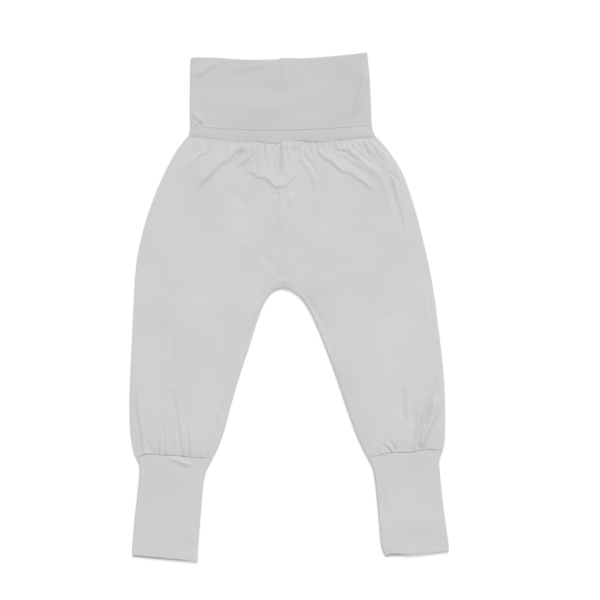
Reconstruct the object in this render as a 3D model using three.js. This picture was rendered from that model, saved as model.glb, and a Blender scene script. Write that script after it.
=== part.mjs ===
// Baby harem pants laid flat, front up: a tall fold-over waistband, a narrow elastic casing, two
// gathered legs, each cut in one piece with no side seam, and two long cuffs. Millimetres. +X is the
// wearer's left, +Y runs towards the waist, +Z is up from the surface that the pants lie on.
import * as THREE from "three";

// Walls and seams
const legWall = 1.4; // single jersey, with the loft of its gathers
const doubleWall = 1.6; // jersey folded double: waistband, casing and cuffs
const seamGap = 0.3; // between two pieces that are sewn together
const layerGap = 0.3; // between a front layer and the back layer under it, at the edges
const seamBevel = 0.15; // how far a centre seam's edge is rounded, as a share of a full roll
const half = seamGap / 2;

// The roll of the cloth at a side: the height of a flattened edge is twice its radius
const legRoll = legWall + layerGap / 2;
const doubleRoll = doubleWall + layerGap / 2;
const loftReach = 9; // how far from a side the front layer takes to rise to its full loft
const backColumns = 5; // points across a leg's flat back layer

// The centre seam, which both legs share
const crotchX = -6;
const crotchY = 19.4;

// Leg sections from the waist to the cuff. inner and outer are a section's two ends, loft is how
// far the front layer stands above its flattened edge, bow bends the section along the leg, strips
// counts the steps to the next section, and columns the points across it.
const legRightSections = [
  { innerX: -8.0, innerY: 165.4, outerX: -101.0, outerY: 170.3, loft: 0.8, bow: -1.2, strips: 3, columns: 38 },
  { innerX: -8.4, innerY: 155.0, outerX: -112.0, outerY: 156.0, loft: 1.2, bow: -0.9, strips: 5, columns: 38 },
  { innerX: -9.0, innerY: 135.0, outerX: -123.5, outerY: 135.0, loft: 1.3, bow: -0.4, strips: 5, columns: 38 },
  { innerX: -9.4, innerY: 112.0, outerX: -134.0, outerY: 111.0, loft: 1.3, bow: 0.0, strips: 4, columns: 28 },
  { innerX: -9.4, innerY: 82.0, outerX: -144.2, outerY: 81.0, loft: 1.3, bow: 0.0, strips: 3, columns: 22 },
  { innerX: -8.4, innerY: 52.0, outerX: -150.8, outerY: 52.0, loft: 1.2, bow: 0.0, strips: 2, columns: 16 },
  { innerX: -7.0, innerY: 32.0, outerX: -153.0, outerY: 34.0, loft: 1.1, bow: 0.0, strips: 2, columns: 16 },
  { innerX: crotchX, innerY: crotchY, outerX: -154.0, outerY: 21.0, loft: 1.1, bow: 0.0, strips: 2, columns: 16 },
  { innerX: -15.0, innerY: 16.0, outerX: -154.5, outerY: 8.0, loft: 1.1, bow: 0.0, strips: 2, columns: 16 },
  { innerX: -23.5, innerY: 6.0, outerX: -155.2, outerY: -5.0, loft: 1.1, bow: 0.0, strips: 2, columns: 16 },
  { innerX: -31.4, innerY: -13.0, outerX: -156.0, outerY: -22.0, loft: 1.2, bow: 0.0, strips: 2, columns: 16 },
  { innerX: -39.6, innerY: -39.0, outerX: -157.0, outerY: -44.0, loft: 1.2, bow: 0.0, strips: 2, columns: 16 },
  { innerX: -48.8, innerY: -67.0, outerX: -158.2, outerY: -69.0, loft: 1.3, bow: 0.0, strips: 3, columns: 22 },
  { innerX: -57.4, innerY: -96.0, outerX: -159.0, outerY: -96.0, loft: 1.3, bow: 0.3, strips: 4, columns: 28 },
  { innerX: -64.6, innerY: -123.0, outerX: -158.3, outerY: -123.0, loft: 1.3, bow: 1.0, strips: 4, columns: 28 },
  { innerX: -71.0, innerY: -141.0, outerX: -155.6, outerY: -141.0, loft: 1.1, bow: 2.0, strips: 3, columns: 28 },
  { innerX: -77.0, innerY: -152.8, outerX: -152.2, outerY: -150.5, loft: 0.7, bow: 2.5, strips: 0, columns: 28 },
];
const legLeftSections = [
  { innerX: -8.0, innerY: 165.4, outerX: 86.5, outerY: 170.5, loft: 0.8, bow: -1.3, strips: 3, columns: 38 },
  { innerX: -8.4, innerY: 155.0, outerX: 99.2, outerY: 156.0, loft: 1.2, bow: -0.9, strips: 5, columns: 38 },
  { innerX: -9.0, innerY: 135.0, outerX: 112.5, outerY: 135.0, loft: 1.3, bow: -0.4, strips: 5, columns: 38 },
  { innerX: -9.4, innerY: 112.0, outerX: 121.6, outerY: 111.0, loft: 1.3, bow: 0.0, strips: 5, columns: 30 },
  { innerX: -9.4, innerY: 82.0, outerX: 130.3, outerY: 81.0, loft: 1.3, bow: 0.0, strips: 3, columns: 22 },
  { innerX: -8.4, innerY: 52.0, outerX: 137.2, outerY: 52.0, loft: 1.2, bow: 0.0, strips: 2, columns: 16 },
  { innerX: -7.0, innerY: 32.0, outerX: 141.2, outerY: 34.0, loft: 1.1, bow: 0.0, strips: 2, columns: 16 },
  { innerX: crotchX, innerY: crotchY, outerX: 143.4, outerY: 21.0, loft: 1.1, bow: 0.0, strips: 2, columns: 16 },
  { innerX: 3.5, innerY: 15.8, outerX: 145.6, outerY: 8.0, loft: 1.1, bow: 0.0, strips: 2, columns: 16 },
  { innerX: 14.0, innerY: 7.0, outerX: 147.2, outerY: -5.0, loft: 1.1, bow: 0.0, strips: 2, columns: 16 },
  { innerX: 24.6, innerY: -11.0, outerX: 149.3, outerY: -22.0, loft: 1.2, bow: 0.0, strips: 2, columns: 16 },
  { innerX: 36.2, innerY: -39.0, outerX: 152.0, outerY: -44.0, loft: 1.2, bow: 0.0, strips: 2, columns: 16 },
  { innerX: 46.6, innerY: -67.0, outerX: 154.5, outerY: -69.0, loft: 1.3, bow: 0.0, strips: 3, columns: 22 },
  { innerX: 56.4, innerY: -96.0, outerX: 155.9, outerY: -96.0, loft: 1.3, bow: 0.3, strips: 4, columns: 28 },
  { innerX: 65.9, innerY: -123.0, outerX: 155.9, outerY: -122.0, loft: 1.3, bow: 1.0, strips: 4, columns: 28 },
  { innerX: 72.8, innerY: -139.0, outerX: 155.3, outerY: -136.0, loft: 1.1, bow: 1.6, strips: 3, columns: 28 },
  { innerX: 78.5, innerY: -149.8, outerX: 153.6, outerY: -144.0, loft: 0.7, bow: 2.0, strips: 0, columns: 28 },
];

// Tube sections from the waist down: the two ends of each, with loft, bow and strips as above
const waistbandSections = [
  { leftX: -97.8, leftY: 249.0, rightX: 77.9, rightY: 254.0, loft: 0.3, bow: -4.4, strips: 3 },
  { leftX: -98.3, leftY: 232.0, rightX: 80.2, rightY: 232.0, loft: 0.9, bow: -1.8, strips: 3 },
  { leftX: -98.6, leftY: 207.0, rightX: 81.6, rightY: 207.0, loft: 1.1, bow: 0.0, strips: 3 },
  { leftX: -98.6, leftY: 190.0, rightX: 82.2, rightY: 190.0, loft: 1.0, bow: -2.0, strips: 2 },
  { leftX: -98.2, leftY: 179.5, rightX: 82.6, rightY: 181.0, loft: 0.5, bow: -4.0, strips: 0 },
];
const casingSections = [
  { leftX: -98.2, leftY: 179.5, rightX: 82.6, rightY: 181.0, loft: 0.6, bow: -4.0, strips: 2 },
  { leftX: -98.9, leftY: 174.9, rightX: 83.9, rightY: 175.7, loft: 1.5, bow: -4.5, strips: 2 },
  { leftX: -100.6, leftY: 170.3, rightX: 86.1, rightY: 170.5, loft: 1.0, bow: -4.96, strips: 0 },
];
const cuffRightSections = [
  { leftX: -152.2, leftY: -150.5, rightX: -77.0, rightY: -152.8, loft: 0.8, bow: 2.5, strips: 2 },
  { leftX: -149.6, leftY: -157.0, rightX: -80.8, rightY: -160.0, loft: 1.0, bow: 1.4, strips: 2 },
  { leftX: -149.3, leftY: -168.0, rightX: -84.6, rightY: -171.0, loft: 0.9, bow: 0.5, strips: 2 },
  { leftX: -151.3, leftY: -188.0, rightX: -86.8, rightY: -190.0, loft: 0.8, bow: 0.0, strips: 2 },
  { leftX: -154.0, leftY: -213.0, rightX: -88.9, rightY: -216.0, loft: 0.8, bow: 0.0, strips: 2 },
  { leftX: -156.2, leftY: -239.0, rightX: -90.9, rightY: -244.0, loft: 0.9, bow: 0.0, strips: 2 },
  { leftX: -156.2, leftY: -249.8, rightX: -91.2, rightY: -254.9, loft: 1.2, bow: -0.4, strips: 0 },
];
const cuffLeftSections = [
  { leftX: 78.5, leftY: -149.8, rightX: 153.6, rightY: -144.0, loft: 0.8, bow: 2.0, strips: 2 },
  { leftX: 83.6, leftY: -159.5, rightX: 150.3, rightY: -154.5, loft: 1.0, bow: 1.0, strips: 2 },
  { leftX: 86.0, leftY: -171.0, rightX: 150.9, rightY: -168.0, loft: 0.9, bow: 0.3, strips: 2 },
  { leftX: 88.2, leftY: -190.0, rightX: 153.0, rightY: -189.0, loft: 0.8, bow: 0.0, strips: 2 },
  { leftX: 90.3, leftY: -213.0, rightX: 156.0, rightY: -213.0, loft: 0.8, bow: 0.0, strips: 2 },
  { leftX: 92.6, leftY: -238.0, rightX: 158.9, rightY: -234.0, loft: 0.9, bow: 0.0, strips: 2 },
  { leftX: 96.8, leftY: -249.8, rightX: 160.0, rightY: -244.4, loft: 1.2, bow: -0.3, strips: 0 },
];
const bandBump = { x: -1, width: 8, height: 2 }; // the centre-back seam lifts the waistband's top edge
const hemPeek = 2.2; // how far a cuff's back hem lies past its front hem

// Large folds of the front layer: a ridge has a positive height and a trough a negative one. Each
// runs from its first point past its middle point to its last, and width is half its breadth.
const folds = [
  { name: "centre crease", x0: -9.0, y0: 165, x1: -9.3, y1: 146, x2: -9.3, y2: 126, width: 2.4, height: -1.2 },
  { name: "smile ridge", x0: -42, y0: 136, x1: -12, y1: 124, x2: 9, y2: 133, width: 4.5, height: 1.6 },
  { name: "smile trough", x0: -43, y0: 130, x1: -12, y1: 118, x2: 11, y2: 128, width: 2.8, height: -1.0 },
  { name: "right leg long trough", x0: -42, y0: 164, x1: -69, y1: 138, x2: -97, y2: 100, width: 4.2, height: -1.0 },
  { name: "right leg upper ridge", x0: -58, y0: 160, x1: -74, y1: 143, x2: -94, y2: 126, width: 4.5, height: 1.2 },
  { name: "right leg side ridge", x0: -76, y0: 163, x1: -88, y1: 152, x2: -106, y2: 135, width: 4.0, height: 1.0 },
  { name: "right leg inner ridge", x0: -34, y0: 162, x1: -38, y1: 151, x2: -52, y2: 137, width: 3.2, height: 1.2 },
  { name: "left leg long trough", x0: 26, y0: 159, x1: 53, y1: 137, x2: 87, y2: 113, width: 3.4, height: -1.3 },
  { name: "left leg long ridge", x0: 34, y0: 160, x1: 53, y1: 144, x2: 81, y2: 125, width: 4.5, height: 1.6 },
  { name: "left leg second ridge", x0: 57, y0: 162, x1: 77, y1: 145, x2: 96, y2: 119, width: 4.2, height: 1.4 },
  { name: "left leg second trough", x0: 63, y0: 163, x1: 78, y1: 149, x2: 92, y2: 135, width: 3.6, height: -0.9 },
  { name: "left leg crescent ridge", x0: 15, y0: 150, x1: 23, y1: 139, x2: 28, y2: 114, width: 3.6, height: 1.3 },
  { name: "left leg crescent trough", x0: 16, y0: 152, x1: 26, y1: 142, x2: 31, y2: 130, width: 2.8, height: -0.9 },
  { name: "left leg side ridge", x0: 89, y0: 130, x1: 100, y1: 110, x2: 108, y2: 80, width: 4.2, height: 1.1 },
  { name: "left leg side trough", x0: 94, y0: 130, x1: 105, y1: 110, x2: 113, y2: 76, width: 3.6, height: -1.2 },
  { name: "right cuff side trough", x0: -155, y0: -78, x1: -151, y1: -116, x2: -147, y2: -146, width: 2.4, height: -1.0 },
  { name: "right cuff middle ridge", x0: -112, y0: -100, x1: -105, y1: -126, x2: -102, y2: -148, width: 3.0, height: 1.4 },
  { name: "right cuff near ridge", x0: -128, y0: -110, x1: -126, y1: -130, x2: -124, y2: -149, width: 2.8, height: 1.1 },
  { name: "right cuff hollow", x0: -115, y0: -84, x1: -118, y1: -110, x2: -120, y2: -140, width: 4.5, height: -0.9 },
  { name: "left cuff inner ridge", x0: 133, y0: -80, x1: 132, y1: -115, x2: 125, y2: -142, width: 3.8, height: 1.4 },
  { name: "left cuff outer ridge", x0: 151, y0: -84, x1: 142, y1: -112, x2: 131, y2: -144, width: 4.0, height: 1.6 },
  { name: "left cuff inner trough", x0: 144, y0: -72, x1: 137, y1: -108, x2: 128, y2: -140, width: 3.2, height: -1.2 },
  { name: "left cuff outer trough", x0: 152, y0: -98, x1: 146, y1: -118, x2: 134, y2: -144, width: 3.0, height: -1.1 },
  { name: "left cuff far ridge", x0: 120, y0: -98, x1: 118, y1: -112, x2: 116, y2: -126, width: 4.0, height: 0.8 },
];

// Gathers: short ridges that start at a seam at x and fan out, with a length along the leg
const waistGathers = { seamY: 166, fanX: -8, fan: 0.011, width: 2.2, rise: -1 };
const waistGatherRows = [
  { x: -90, length: 16, height: 0.8 }, { x: -83, length: 22, height: 0.9 }, { x: -67, length: 14, height: 0.8 },
  { x: -59, length: 20, height: 1.0 }, { x: -52, length: 13, height: 0.9 }, { x: -46, length: 15, height: 0.8 },
  { x: -27, length: 26, height: 1.1 }, { x: -19, length: 28, height: 1.1 }, { x: -3, length: 16, height: 1.0 },
  { x: 4, length: 12, height: 0.8 }, { x: 9, length: 16, height: 1.0 }, { x: 20, length: 14, height: 0.8 },
  { x: 28, length: 12, height: 1.1 }, { x: 41, length: 18, height: 1.0 }, { x: 48, length: 14, height: 0.9 },
  { x: 67, length: 16, height: 0.9 }, { x: 76, length: 14, height: 0.8 }, { x: 81, length: 18, height: 0.9 },
];
const cuffGathers = { width: 2.0, rise: 1 };
const rightCuffGathers = { ...cuffGathers, seamY: -149.5, fanX: -115, fan: 0.006 };
const rightCuffGatherRows = [
  { x: -143, length: 12, height: 0.9 }, { x: -136, length: 18, height: 0.8 }, { x: -130, length: 10, height: 0.7 },
  { x: -118, length: 22, height: 1.1 }, { x: -109, length: 20, height: 1.0 }, { x: -96, length: 18, height: 1.0 },
  { x: -89, length: 10, height: 0.7 }, { x: -83, length: 12, height: 0.8 },
];
const leftCuffGathers = { ...cuffGathers, seamY: -146, fanX: 115, fan: 0.006 };
const leftCuffGatherRows = [
  { x: 86, length: 12, height: 0.8 }, { x: 92, length: 16, height: 0.8 }, { x: 99, length: 14, height: 1.0 },
  { x: 106, length: 18, height: 0.9 }, { x: 112, length: 16, height: 1.0 }, { x: 119, length: 14, height: 0.9 },
  { x: 140, length: 14, height: 0.8 }, { x: 147, length: 12, height: 0.8 },
];

const clamp01 = (value) => Math.min(1, Math.max(0, value));
const smooth = (value) => THREE.MathUtils.smoothstep(value, 0, 1);
const mix = THREE.MathUtils.lerp;

// A gather is a straight fold that leans away from its group's middle
function gatherFold(group, { x, length, height }) {
  const lean = group.fan * (x - group.fanX) * length;
  const far = group.seamY + group.rise * length;
  return {
    x0: x, y0: group.seamY, x1: x + lean * 0.4, y1: mix(group.seamY, far, 0.5), x2: x + lean, y2: far,
    width: group.width, height,
  };
}

const gatherFolds = [
  ...waistGatherRows.map((row) => gatherFold(waistGathers, row)),
  ...rightCuffGatherRows.map((row) => gatherFold(rightCuffGathers, row)),
  ...leftCuffGatherRows.map((row) => gatherFold(leftCuffGathers, row)),
];

// A fold with its route as a short polyline, so that a point's distance to it is easy to find
const foldSteps = 10;
const routes = [...folds, ...gatherFolds].map((fold) => {
  const start = new THREE.Vector2(fold.x0, fold.y0);
  const end = new THREE.Vector2(fold.x2, fold.y2);
  const middle = new THREE.Vector2(fold.x1, fold.y1);
  const control = middle.clone().multiplyScalar(2).sub(start.clone().add(end).multiplyScalar(0.5));
  const points = new THREE.QuadraticBezierCurve(start, control, end).getPoints(foldSteps);
  const isGather = !fold.name;
  return { points, width: fold.width, height: fold.height, isGather };
});

// How far along a route (0 to 1) and how far from it a point lies
function nearestOn(points, x, y) {
  let best = { distance: Infinity, along: 0 };
  for (let i = 0; i + 1 < points.length; i++) {
    const a = points[i];
    const b = points[i + 1];
    const dx = b.x - a.x;
    const dy = b.y - a.y;
    const t = clamp01(((x - a.x) * dx + (y - a.y) * dy) / (dx * dx + dy * dy));
    const distance = Math.hypot(x - a.x - t * dx, y - a.y - t * dy);
    if (distance < best.distance) best = { distance, along: (i + t) / (points.length - 1) };
  }
  return best;
}

// The height that all folds and gathers add at a point of the front layer
function foldHeight(x, y) {
  let height = 0;
  for (const { points, width, height: peak, isGather } of routes) {
    const { distance, along } = nearestOn(points, x, y);
    const fade = isGather ? 1 - smooth(along) : Math.sin(Math.PI * mix(0.12, 0.97, along));
    height += peak * fade * Math.exp(-((distance / width) ** 2));
  }
  return height;
}

// Sections between the rows of a table, on a smooth curve through them. A corner is a row number
// where the curve may turn sharply.
class Sections {
  constructor(rows) {
    this.rows = rows;
    this.last = rows.length - 1;
  }

  // The value of a column at a row number that may lie between two rows
  at(column, place, corner) {
    const i = Math.min(Math.floor(place), this.last - 1);
    const low = corner !== undefined && i >= corner ? corner : 0;
    const high = corner !== undefined && i < corner ? corner : this.last;
    const [p0, p1, p2, p3] = [-1, 0, 1, 2].map((k) => this.rows[Math.min(high, Math.max(low, i + k))][column]);
    const t = place - i;
    const from = (p2 - p0) / 2;
    const to = (p3 - p1) / 2;
    return p1 + t * (from + t * (3 * (p2 - p1) - 2 * from - to + t * (2 * (p1 - p2) + from + to)));
  }

  // Row numbers from the first to the last, with each row's own number of strips
  places() {
    const between = ({ strips }, i) => Array.from({ length: strips }, (_, k) => i + (k + 1) / strips);
    return [0, ...this.rows.flatMap(between)];
  }
}

// Triangles between two lines of point numbers that may differ in length
function stitch(faces, upper, lower) {
  let i = 0;
  let k = 0;
  while (i < upper.length - 1 || k < lower.length - 1) {
    const upperShare = (i + 1) / (upper.length - 1);
    const lowerShare = (k + 1) / (lower.length - 1);
    if (k === lower.length - 1 || (i < upper.length - 1 && upperShare <= lowerShare)) {
      faces.push([upper[i], lower[k], upper[i + 1]]);
      i++;
    } else {
      faces.push([upper[i], lower[k], lower[k + 1]]);
      k++;
    }
  }
}

// A closed wall from rows on its outside and rows on its inside. A row is a list of stretches, such
// as its front and its fold, and each stretch is stitched to the same one in the next row.
function wall(outerRows, innerRows, isTube) {
  const points = [];
  const number = (row) => {
    const first = points.length;
    const stretches = row.map((stretch, i) => {
      const before = i > 0 ? [points.length - 1] : [];
      return [...before, ...stretch.map((point) => points.push(point) - 1)];
    });
    if (isTube) stretches.at(-1).push(first);
    return stretches;
  };
  const outer = outerRows.map(number);
  const inner = innerRows.map(number);
  const faces = [];
  const turned = [];
  const join = (target, upper, lower) => upper.forEach((stretch, i) => stitch(target, stretch, lower[i]));
  for (let i = 0; i + 1 < outer.length; i++) {
    join(faces, outer[i], outer[i + 1]);
    join(turned, inner[i], inner[i + 1]);
  }
  join(turned, outer[0], inner[0]);
  join(faces, outer.at(-1), inner.at(-1));
  if (!isTube) {
    const start = (row) => row[0][0];
    const end = (row) => row.at(-1).at(-1);
    stitch(faces, outer.map(start), inner.map(start));
    stitch(turned, outer.map(end), inner.map(end));
  }
  const turn = ([a, b, c]) => [a, c, b];
  const all = [...faces, ...turned.map(turn)];
  const volume = all.reduce((sum, [a, b, c]) => {
    return sum + points[a].dot(new THREE.Vector3().crossVectors(points[b], points[c]));
  }, 0);
  return new THREE.BufferGeometry().setFromPoints(points).setIndex((volume > 0 ? all : all.map(turn)).flat());
}

const steps = (count, from, to) => Array.from({ length: count + 1 }, (_, k) => mix(from, to, k / count));
const foldAngles = [36, 72, 108, 144].map(THREE.MathUtils.degToRad);
const rollAngles = [Math.acos(half / legRoll), 0.9, 0.45];

// A section of a leg: its two ends with their share of the seam gaps, and how far its inner edge is
// rolled down to meet the other layer, from a centre seam's flat edge (0) to the inseam's (1)
function legSection(sections, place, side) {
  const crotchRow = sections.rows.findIndex((row) => row.innerY === crotchY);
  const pull = place === 0 ? -half : place === sections.last ? half : 0;
  const part = place <= crotchRow ? side * half : 0;
  const corner = crotchRow;
  const innerX = sections.at("innerX", place, corner) + part;
  const inner = new THREE.Vector2(innerX, sections.at("innerY", place, corner) + pull);
  const outer = new THREE.Vector2(sections.at("outerX", place), sections.at("outerY", place) + pull);
  const width = inner.distanceTo(outer);
  const closed = smooth(place - crotchRow + 1);
  const bow = sections.at("bow", place);
  const loft = sections.at("loft", place);
  return { inner, outer, width, closed, bow, loft, columns: sections.rows[Math.round(place)].columns };
}

// A point of a section at a distance from its inner end
function onSection({ inner, outer, width, bow }, across, z) {
  const t = across / width;
  return new THREE.Vector3(mix(inner.x, outer.x, t), mix(inner.y, outer.y, t) + 4 * bow * t * (1 - t), z);
}

// The height of a leg's front layer at a distance from the section's inner end
function legTop(section, across) {
  const { x, y } = onSection(section, across, 0);
  const fromInner = mix(1, 1 - Math.exp(-across / loftReach), section.closed);
  const fromOuter = 1 - Math.exp(-(section.width - across) / loftReach);
  const calm = mix(1, smooth(across / loftReach), section.closed) * smooth((section.width - across) / loftReach);
  return 2 * legRoll + Math.max(0, section.loft * fromInner * fromOuter + foldHeight(x, y) * calm);
}

// A leg: one piece from the centre-front seam round the side to the centre-back seam, whose two
// edges lie on each other at the inseam
function leg(rows, side) {
  const sections = new Sections(rows);
  const outerRows = [];
  const innerRows = [];
  for (const place of sections.places()) {
    const section = legSection(sections, place, side);
    const roll = mix(seamBevel, 1, section.closed);
    const start = roll * legRoll;
    const end = section.width - legRoll;
    const top = (across) => legTop(section, across);
    const point = (across, z) => onSection(section, across, z);
    const rolled = (angle, face) =>
      point(start * (1 - Math.sin(angle)), mix(face, legRoll, roll * (1 - Math.cos(angle))));
    const folded = (angle) => {
      const face = angle < Math.PI / 2 ? top(end) : 0;
      return point(end + legRoll * Math.sin(angle), mix(face, legRoll, 1 - Math.abs(Math.cos(angle))));
    };
    outerRows.push([
      rollAngles.map((angle) => rolled(angle, top(start))),
      steps(section.columns, start, end).map((across) => point(across, top(across))),
      foldAngles.map(folded),
      steps(backColumns, end, start).map((across) => point(across, 0)),
      rollAngles.toReversed().map((angle) => rolled(angle, 0)),
    ]);
    const gap = (end - start) / section.columns;
    const lowest = (across) => {
      const near = [-gap, 0, gap].map((shift) => top(THREE.MathUtils.clamp(across + shift, start, end)));
      return Math.min(...near) - legWall;
    };
    const [, ...under] = steps(section.columns / 2, start, end).map((across) => point(across, lowest(across)));
    const [, ...over] = steps(backColumns, end, start).map((across) => point(across, legWall));
    over.at(-1).z = mix(legWall, legRoll - half, section.closed);
    innerRows.push([
      [point(start, mix(lowest(start), legRoll + half, section.closed))],
      under,
      [point(end + half, legRoll)],
      [point(end, legWall), ...over],
      [],
    ]);
  }
  return wall(outerRows, innerRows, false);
}

// A flattened tube of doubled jersey: waistband, casing or cuff. hem is how far the front layer's
// last row is drawn back, and bump lifts the first row's edge at one place.
function tube(rows, { topGap, bottomGap, columns, hem = 0, bump }) {
  const sections = new Sections(rows);
  const outerRows = [];
  const innerRows = [];
  for (const place of sections.places()) {
    const pull = place === 0 ? -topGap : place === sections.last ? bottomGap : 0;
    const left = new THREE.Vector2(sections.at("leftX", place), sections.at("leftY", place) + pull);
    const right = new THREE.Vector2(sections.at("rightX", place), sections.at("rightY", place) + pull);
    const section = { inner: left, outer: right, width: left.distanceTo(right), bow: sections.at("bow", place) };
    const start = doubleRoll;
    const end = section.width - doubleRoll;
    const loft = sections.at("loft", place);
    const top = (across) => {
      const rise = (distance) => 1 - Math.exp(-distance / loftReach);
      return 2 * doubleRoll + loft * rise(across - start) * rise(end - across);
    };
    const point = (across, z) => {
      const at = onSection(section, across, z);
      const t = clamp01(across / section.width);
      if (z > doubleRoll && place === sections.last) at.y += hem * Math.sqrt(4 * t * (1 - t));
      if (bump && place === 0) at.y += bump.height * Math.exp(-(((at.x - bump.x) / bump.width) ** 2));
      return at;
    };
    const foldRight = (angle) => point(end + doubleRoll * Math.sin(angle), doubleRoll * (1 + Math.cos(angle)));
    const foldLeft = (angle) => point(start - doubleRoll * Math.sin(angle), doubleRoll * (1 - Math.cos(angle)));
    outerRows.push([
      steps(columns, start, end).map((across) => point(across, top(across))),
      foldAngles.map(foldRight),
      steps(columns / 3, end, start).map((across) => point(across, 0)),
      foldAngles.map(foldLeft),
    ]);
    innerRows.push([
      steps(columns / 2, start, end).map((across) => point(across, top(across) - doubleWall)),
      [point(end + half, doubleRoll)],
      steps(columns / 3, end, start).map((across) => point(across, doubleWall)),
      [point(start - half, doubleRoll)],
    ]);
  }
  return wall(outerRows, innerRows, true);
}

const jersey = { color: 0xcfcfd0, roughness: 0.85, metalness: 0 };
const doubleJersey = { color: 0xcacaca, roughness: 0.85, metalness: 0 };

function piece(name, geometry, finish) {
  const mesh = new THREE.Mesh(geometry, new THREE.MeshStandardMaterial(finish));
  mesh.name = name;
  return mesh;
}

const pants = new THREE.Group();
pants.add(
  piece("waistband", tube(waistbandSections, { topGap: 0, bottomGap: half, columns: 18, bump: bandBump }), doubleJersey),
  piece("waist_casing", tube(casingSections, { topGap: half, bottomGap: half, columns: 18 }), doubleJersey),
  piece("leg_right", leg(legRightSections, -1), jersey),
  piece("leg_left", leg(legLeftSections, 1), jersey),
  piece("cuff_right", tube(cuffRightSections, { topGap: half, bottomGap: 0, columns: 12, hem: hemPeek }), doubleJersey),
  piece("cuff_left", tube(cuffLeftSections, { topGap: half, bottomGap: 0, columns: 12, hem: hemPeek }), doubleJersey),
);

// The origin is under the middle of the pants
const middle = new THREE.Box3().setFromObject(pants).getCenter(new THREE.Vector3());
for (const { geometry } of pants.children) geometry.translate(-middle.x, -middle.y, 0);

export default pants;
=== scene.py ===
"""Baby harem pants laid flat, front up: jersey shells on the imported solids, and their stage.

Sizes are in millimetres until a mesh is made. +X is the wearer's left, +Y runs towards the waist
and +Z is up from the surface that the pants lie on.
"""
import logging
import math
from collections.abc import Sequence
from dataclasses import dataclass, field
from enum import Enum

import bmesh
import bpy
import numpy as np
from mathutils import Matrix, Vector


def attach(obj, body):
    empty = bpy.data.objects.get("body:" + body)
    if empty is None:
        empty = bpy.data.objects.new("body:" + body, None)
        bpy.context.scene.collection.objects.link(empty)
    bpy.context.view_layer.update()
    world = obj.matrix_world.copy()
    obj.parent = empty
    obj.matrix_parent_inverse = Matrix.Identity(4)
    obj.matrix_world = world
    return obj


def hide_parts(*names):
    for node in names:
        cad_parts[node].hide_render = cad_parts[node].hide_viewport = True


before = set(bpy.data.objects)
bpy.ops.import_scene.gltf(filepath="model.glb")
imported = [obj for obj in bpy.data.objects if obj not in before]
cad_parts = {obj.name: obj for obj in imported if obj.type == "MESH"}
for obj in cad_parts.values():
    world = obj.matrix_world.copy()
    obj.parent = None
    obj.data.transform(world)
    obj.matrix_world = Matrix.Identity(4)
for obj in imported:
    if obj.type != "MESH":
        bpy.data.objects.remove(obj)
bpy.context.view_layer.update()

LOG = logging.getLogger("harem_pants")
MM = 0.001

# The middle of the pants in the sizes below; it becomes the origin
MIDDLE_X = 0.45
MIDDLE_Y = -0.55

# The roll at a side is half as high as a flattened edge, and reaches out less than that
LEG_ROLL = 1.55
LEG_REACH = 1.0
DOUBLE_ROLL = 1.75
DOUBLE_REACH = 1.15
DOUBLE_WALL = 1.5

# How far in from a side the cloth's loft comes up
LOFT_REACH = 13.0

# The legs meet at the centre seams with this half gap, and with next to no roll
CENTRE_HALF_GAP = 0.015
CENTRE_ROLL = 0.008

# How far sewn cloth passes its solid's end, and over what length it is drawn there
SEAM_MEET = 0.07
MEET_REACH = 3.0

# How far along a leg a seam line's straying is felt
STRAY_REACH = 20.0

Array = np.ndarray
Point = tuple[float, float]


class Side(Enum):
    """Which of a pair a piece is, by the wearer's side."""

    RIGHT = "right"
    LEFT = "left"


class Edge(Enum):
    """How the end of a tube is finished."""

    SEWN = "sewn"
    FOLDED = "folded"

    @property
    def turn(self) -> float:
        """How far from the end the cloth starts to turn in."""
        return 0.75 if self is Edge.FOLDED else 0.13

    @property
    def meet(self) -> float:
        """How far the cloth passes its solid's end, to meet the next piece at a seam."""
        return SEAM_MEET if self is Edge.SEWN else 0.0


@dataclass(frozen=True)
class Crease:
    """A soft ridge, or with a negative height a trough, along a smooth route.

    Attributes:
        route: Points that the crest passes, in the order of travel.
        height: Height of the crest over the cloth.
        left: Half-width on the left of the travel.
        right: Half-width on the right of it.
        rise: Share of the length over which it comes up.
        fall: Share of the length over which it dies away.
    """

    route: tuple[Point, ...]
    height: float
    left: float
    right: float
    rise: float = 0.3
    fall: float = 0.4


@dataclass(frozen=True)
class LegSection:
    """A line across a leg, from the centre seam or inseam to the side.

    Attributes:
        inner_x: Where it starts, across the pants.
        inner_y: Where it starts, along them.
        outer_x: Where it ends, across.
        outer_y: Where it ends, along.
        loft: How far the front rises over the flat layers there.
        bow: How far the line's middle bows towards the waist.
    """

    inner_x: float
    inner_y: float
    outer_x: float
    outer_y: float
    loft: float
    bow: float


@dataclass(frozen=True)
class TubeSection:
    """A line across a flattened tube, with a loft and a bow as a leg's."""

    left_x: float
    left_y: float
    right_x: float
    right_y: float
    loft: float
    bow: float


# The row of the leg tables where the inseam starts
CROTCH_ROW = 7

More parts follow.
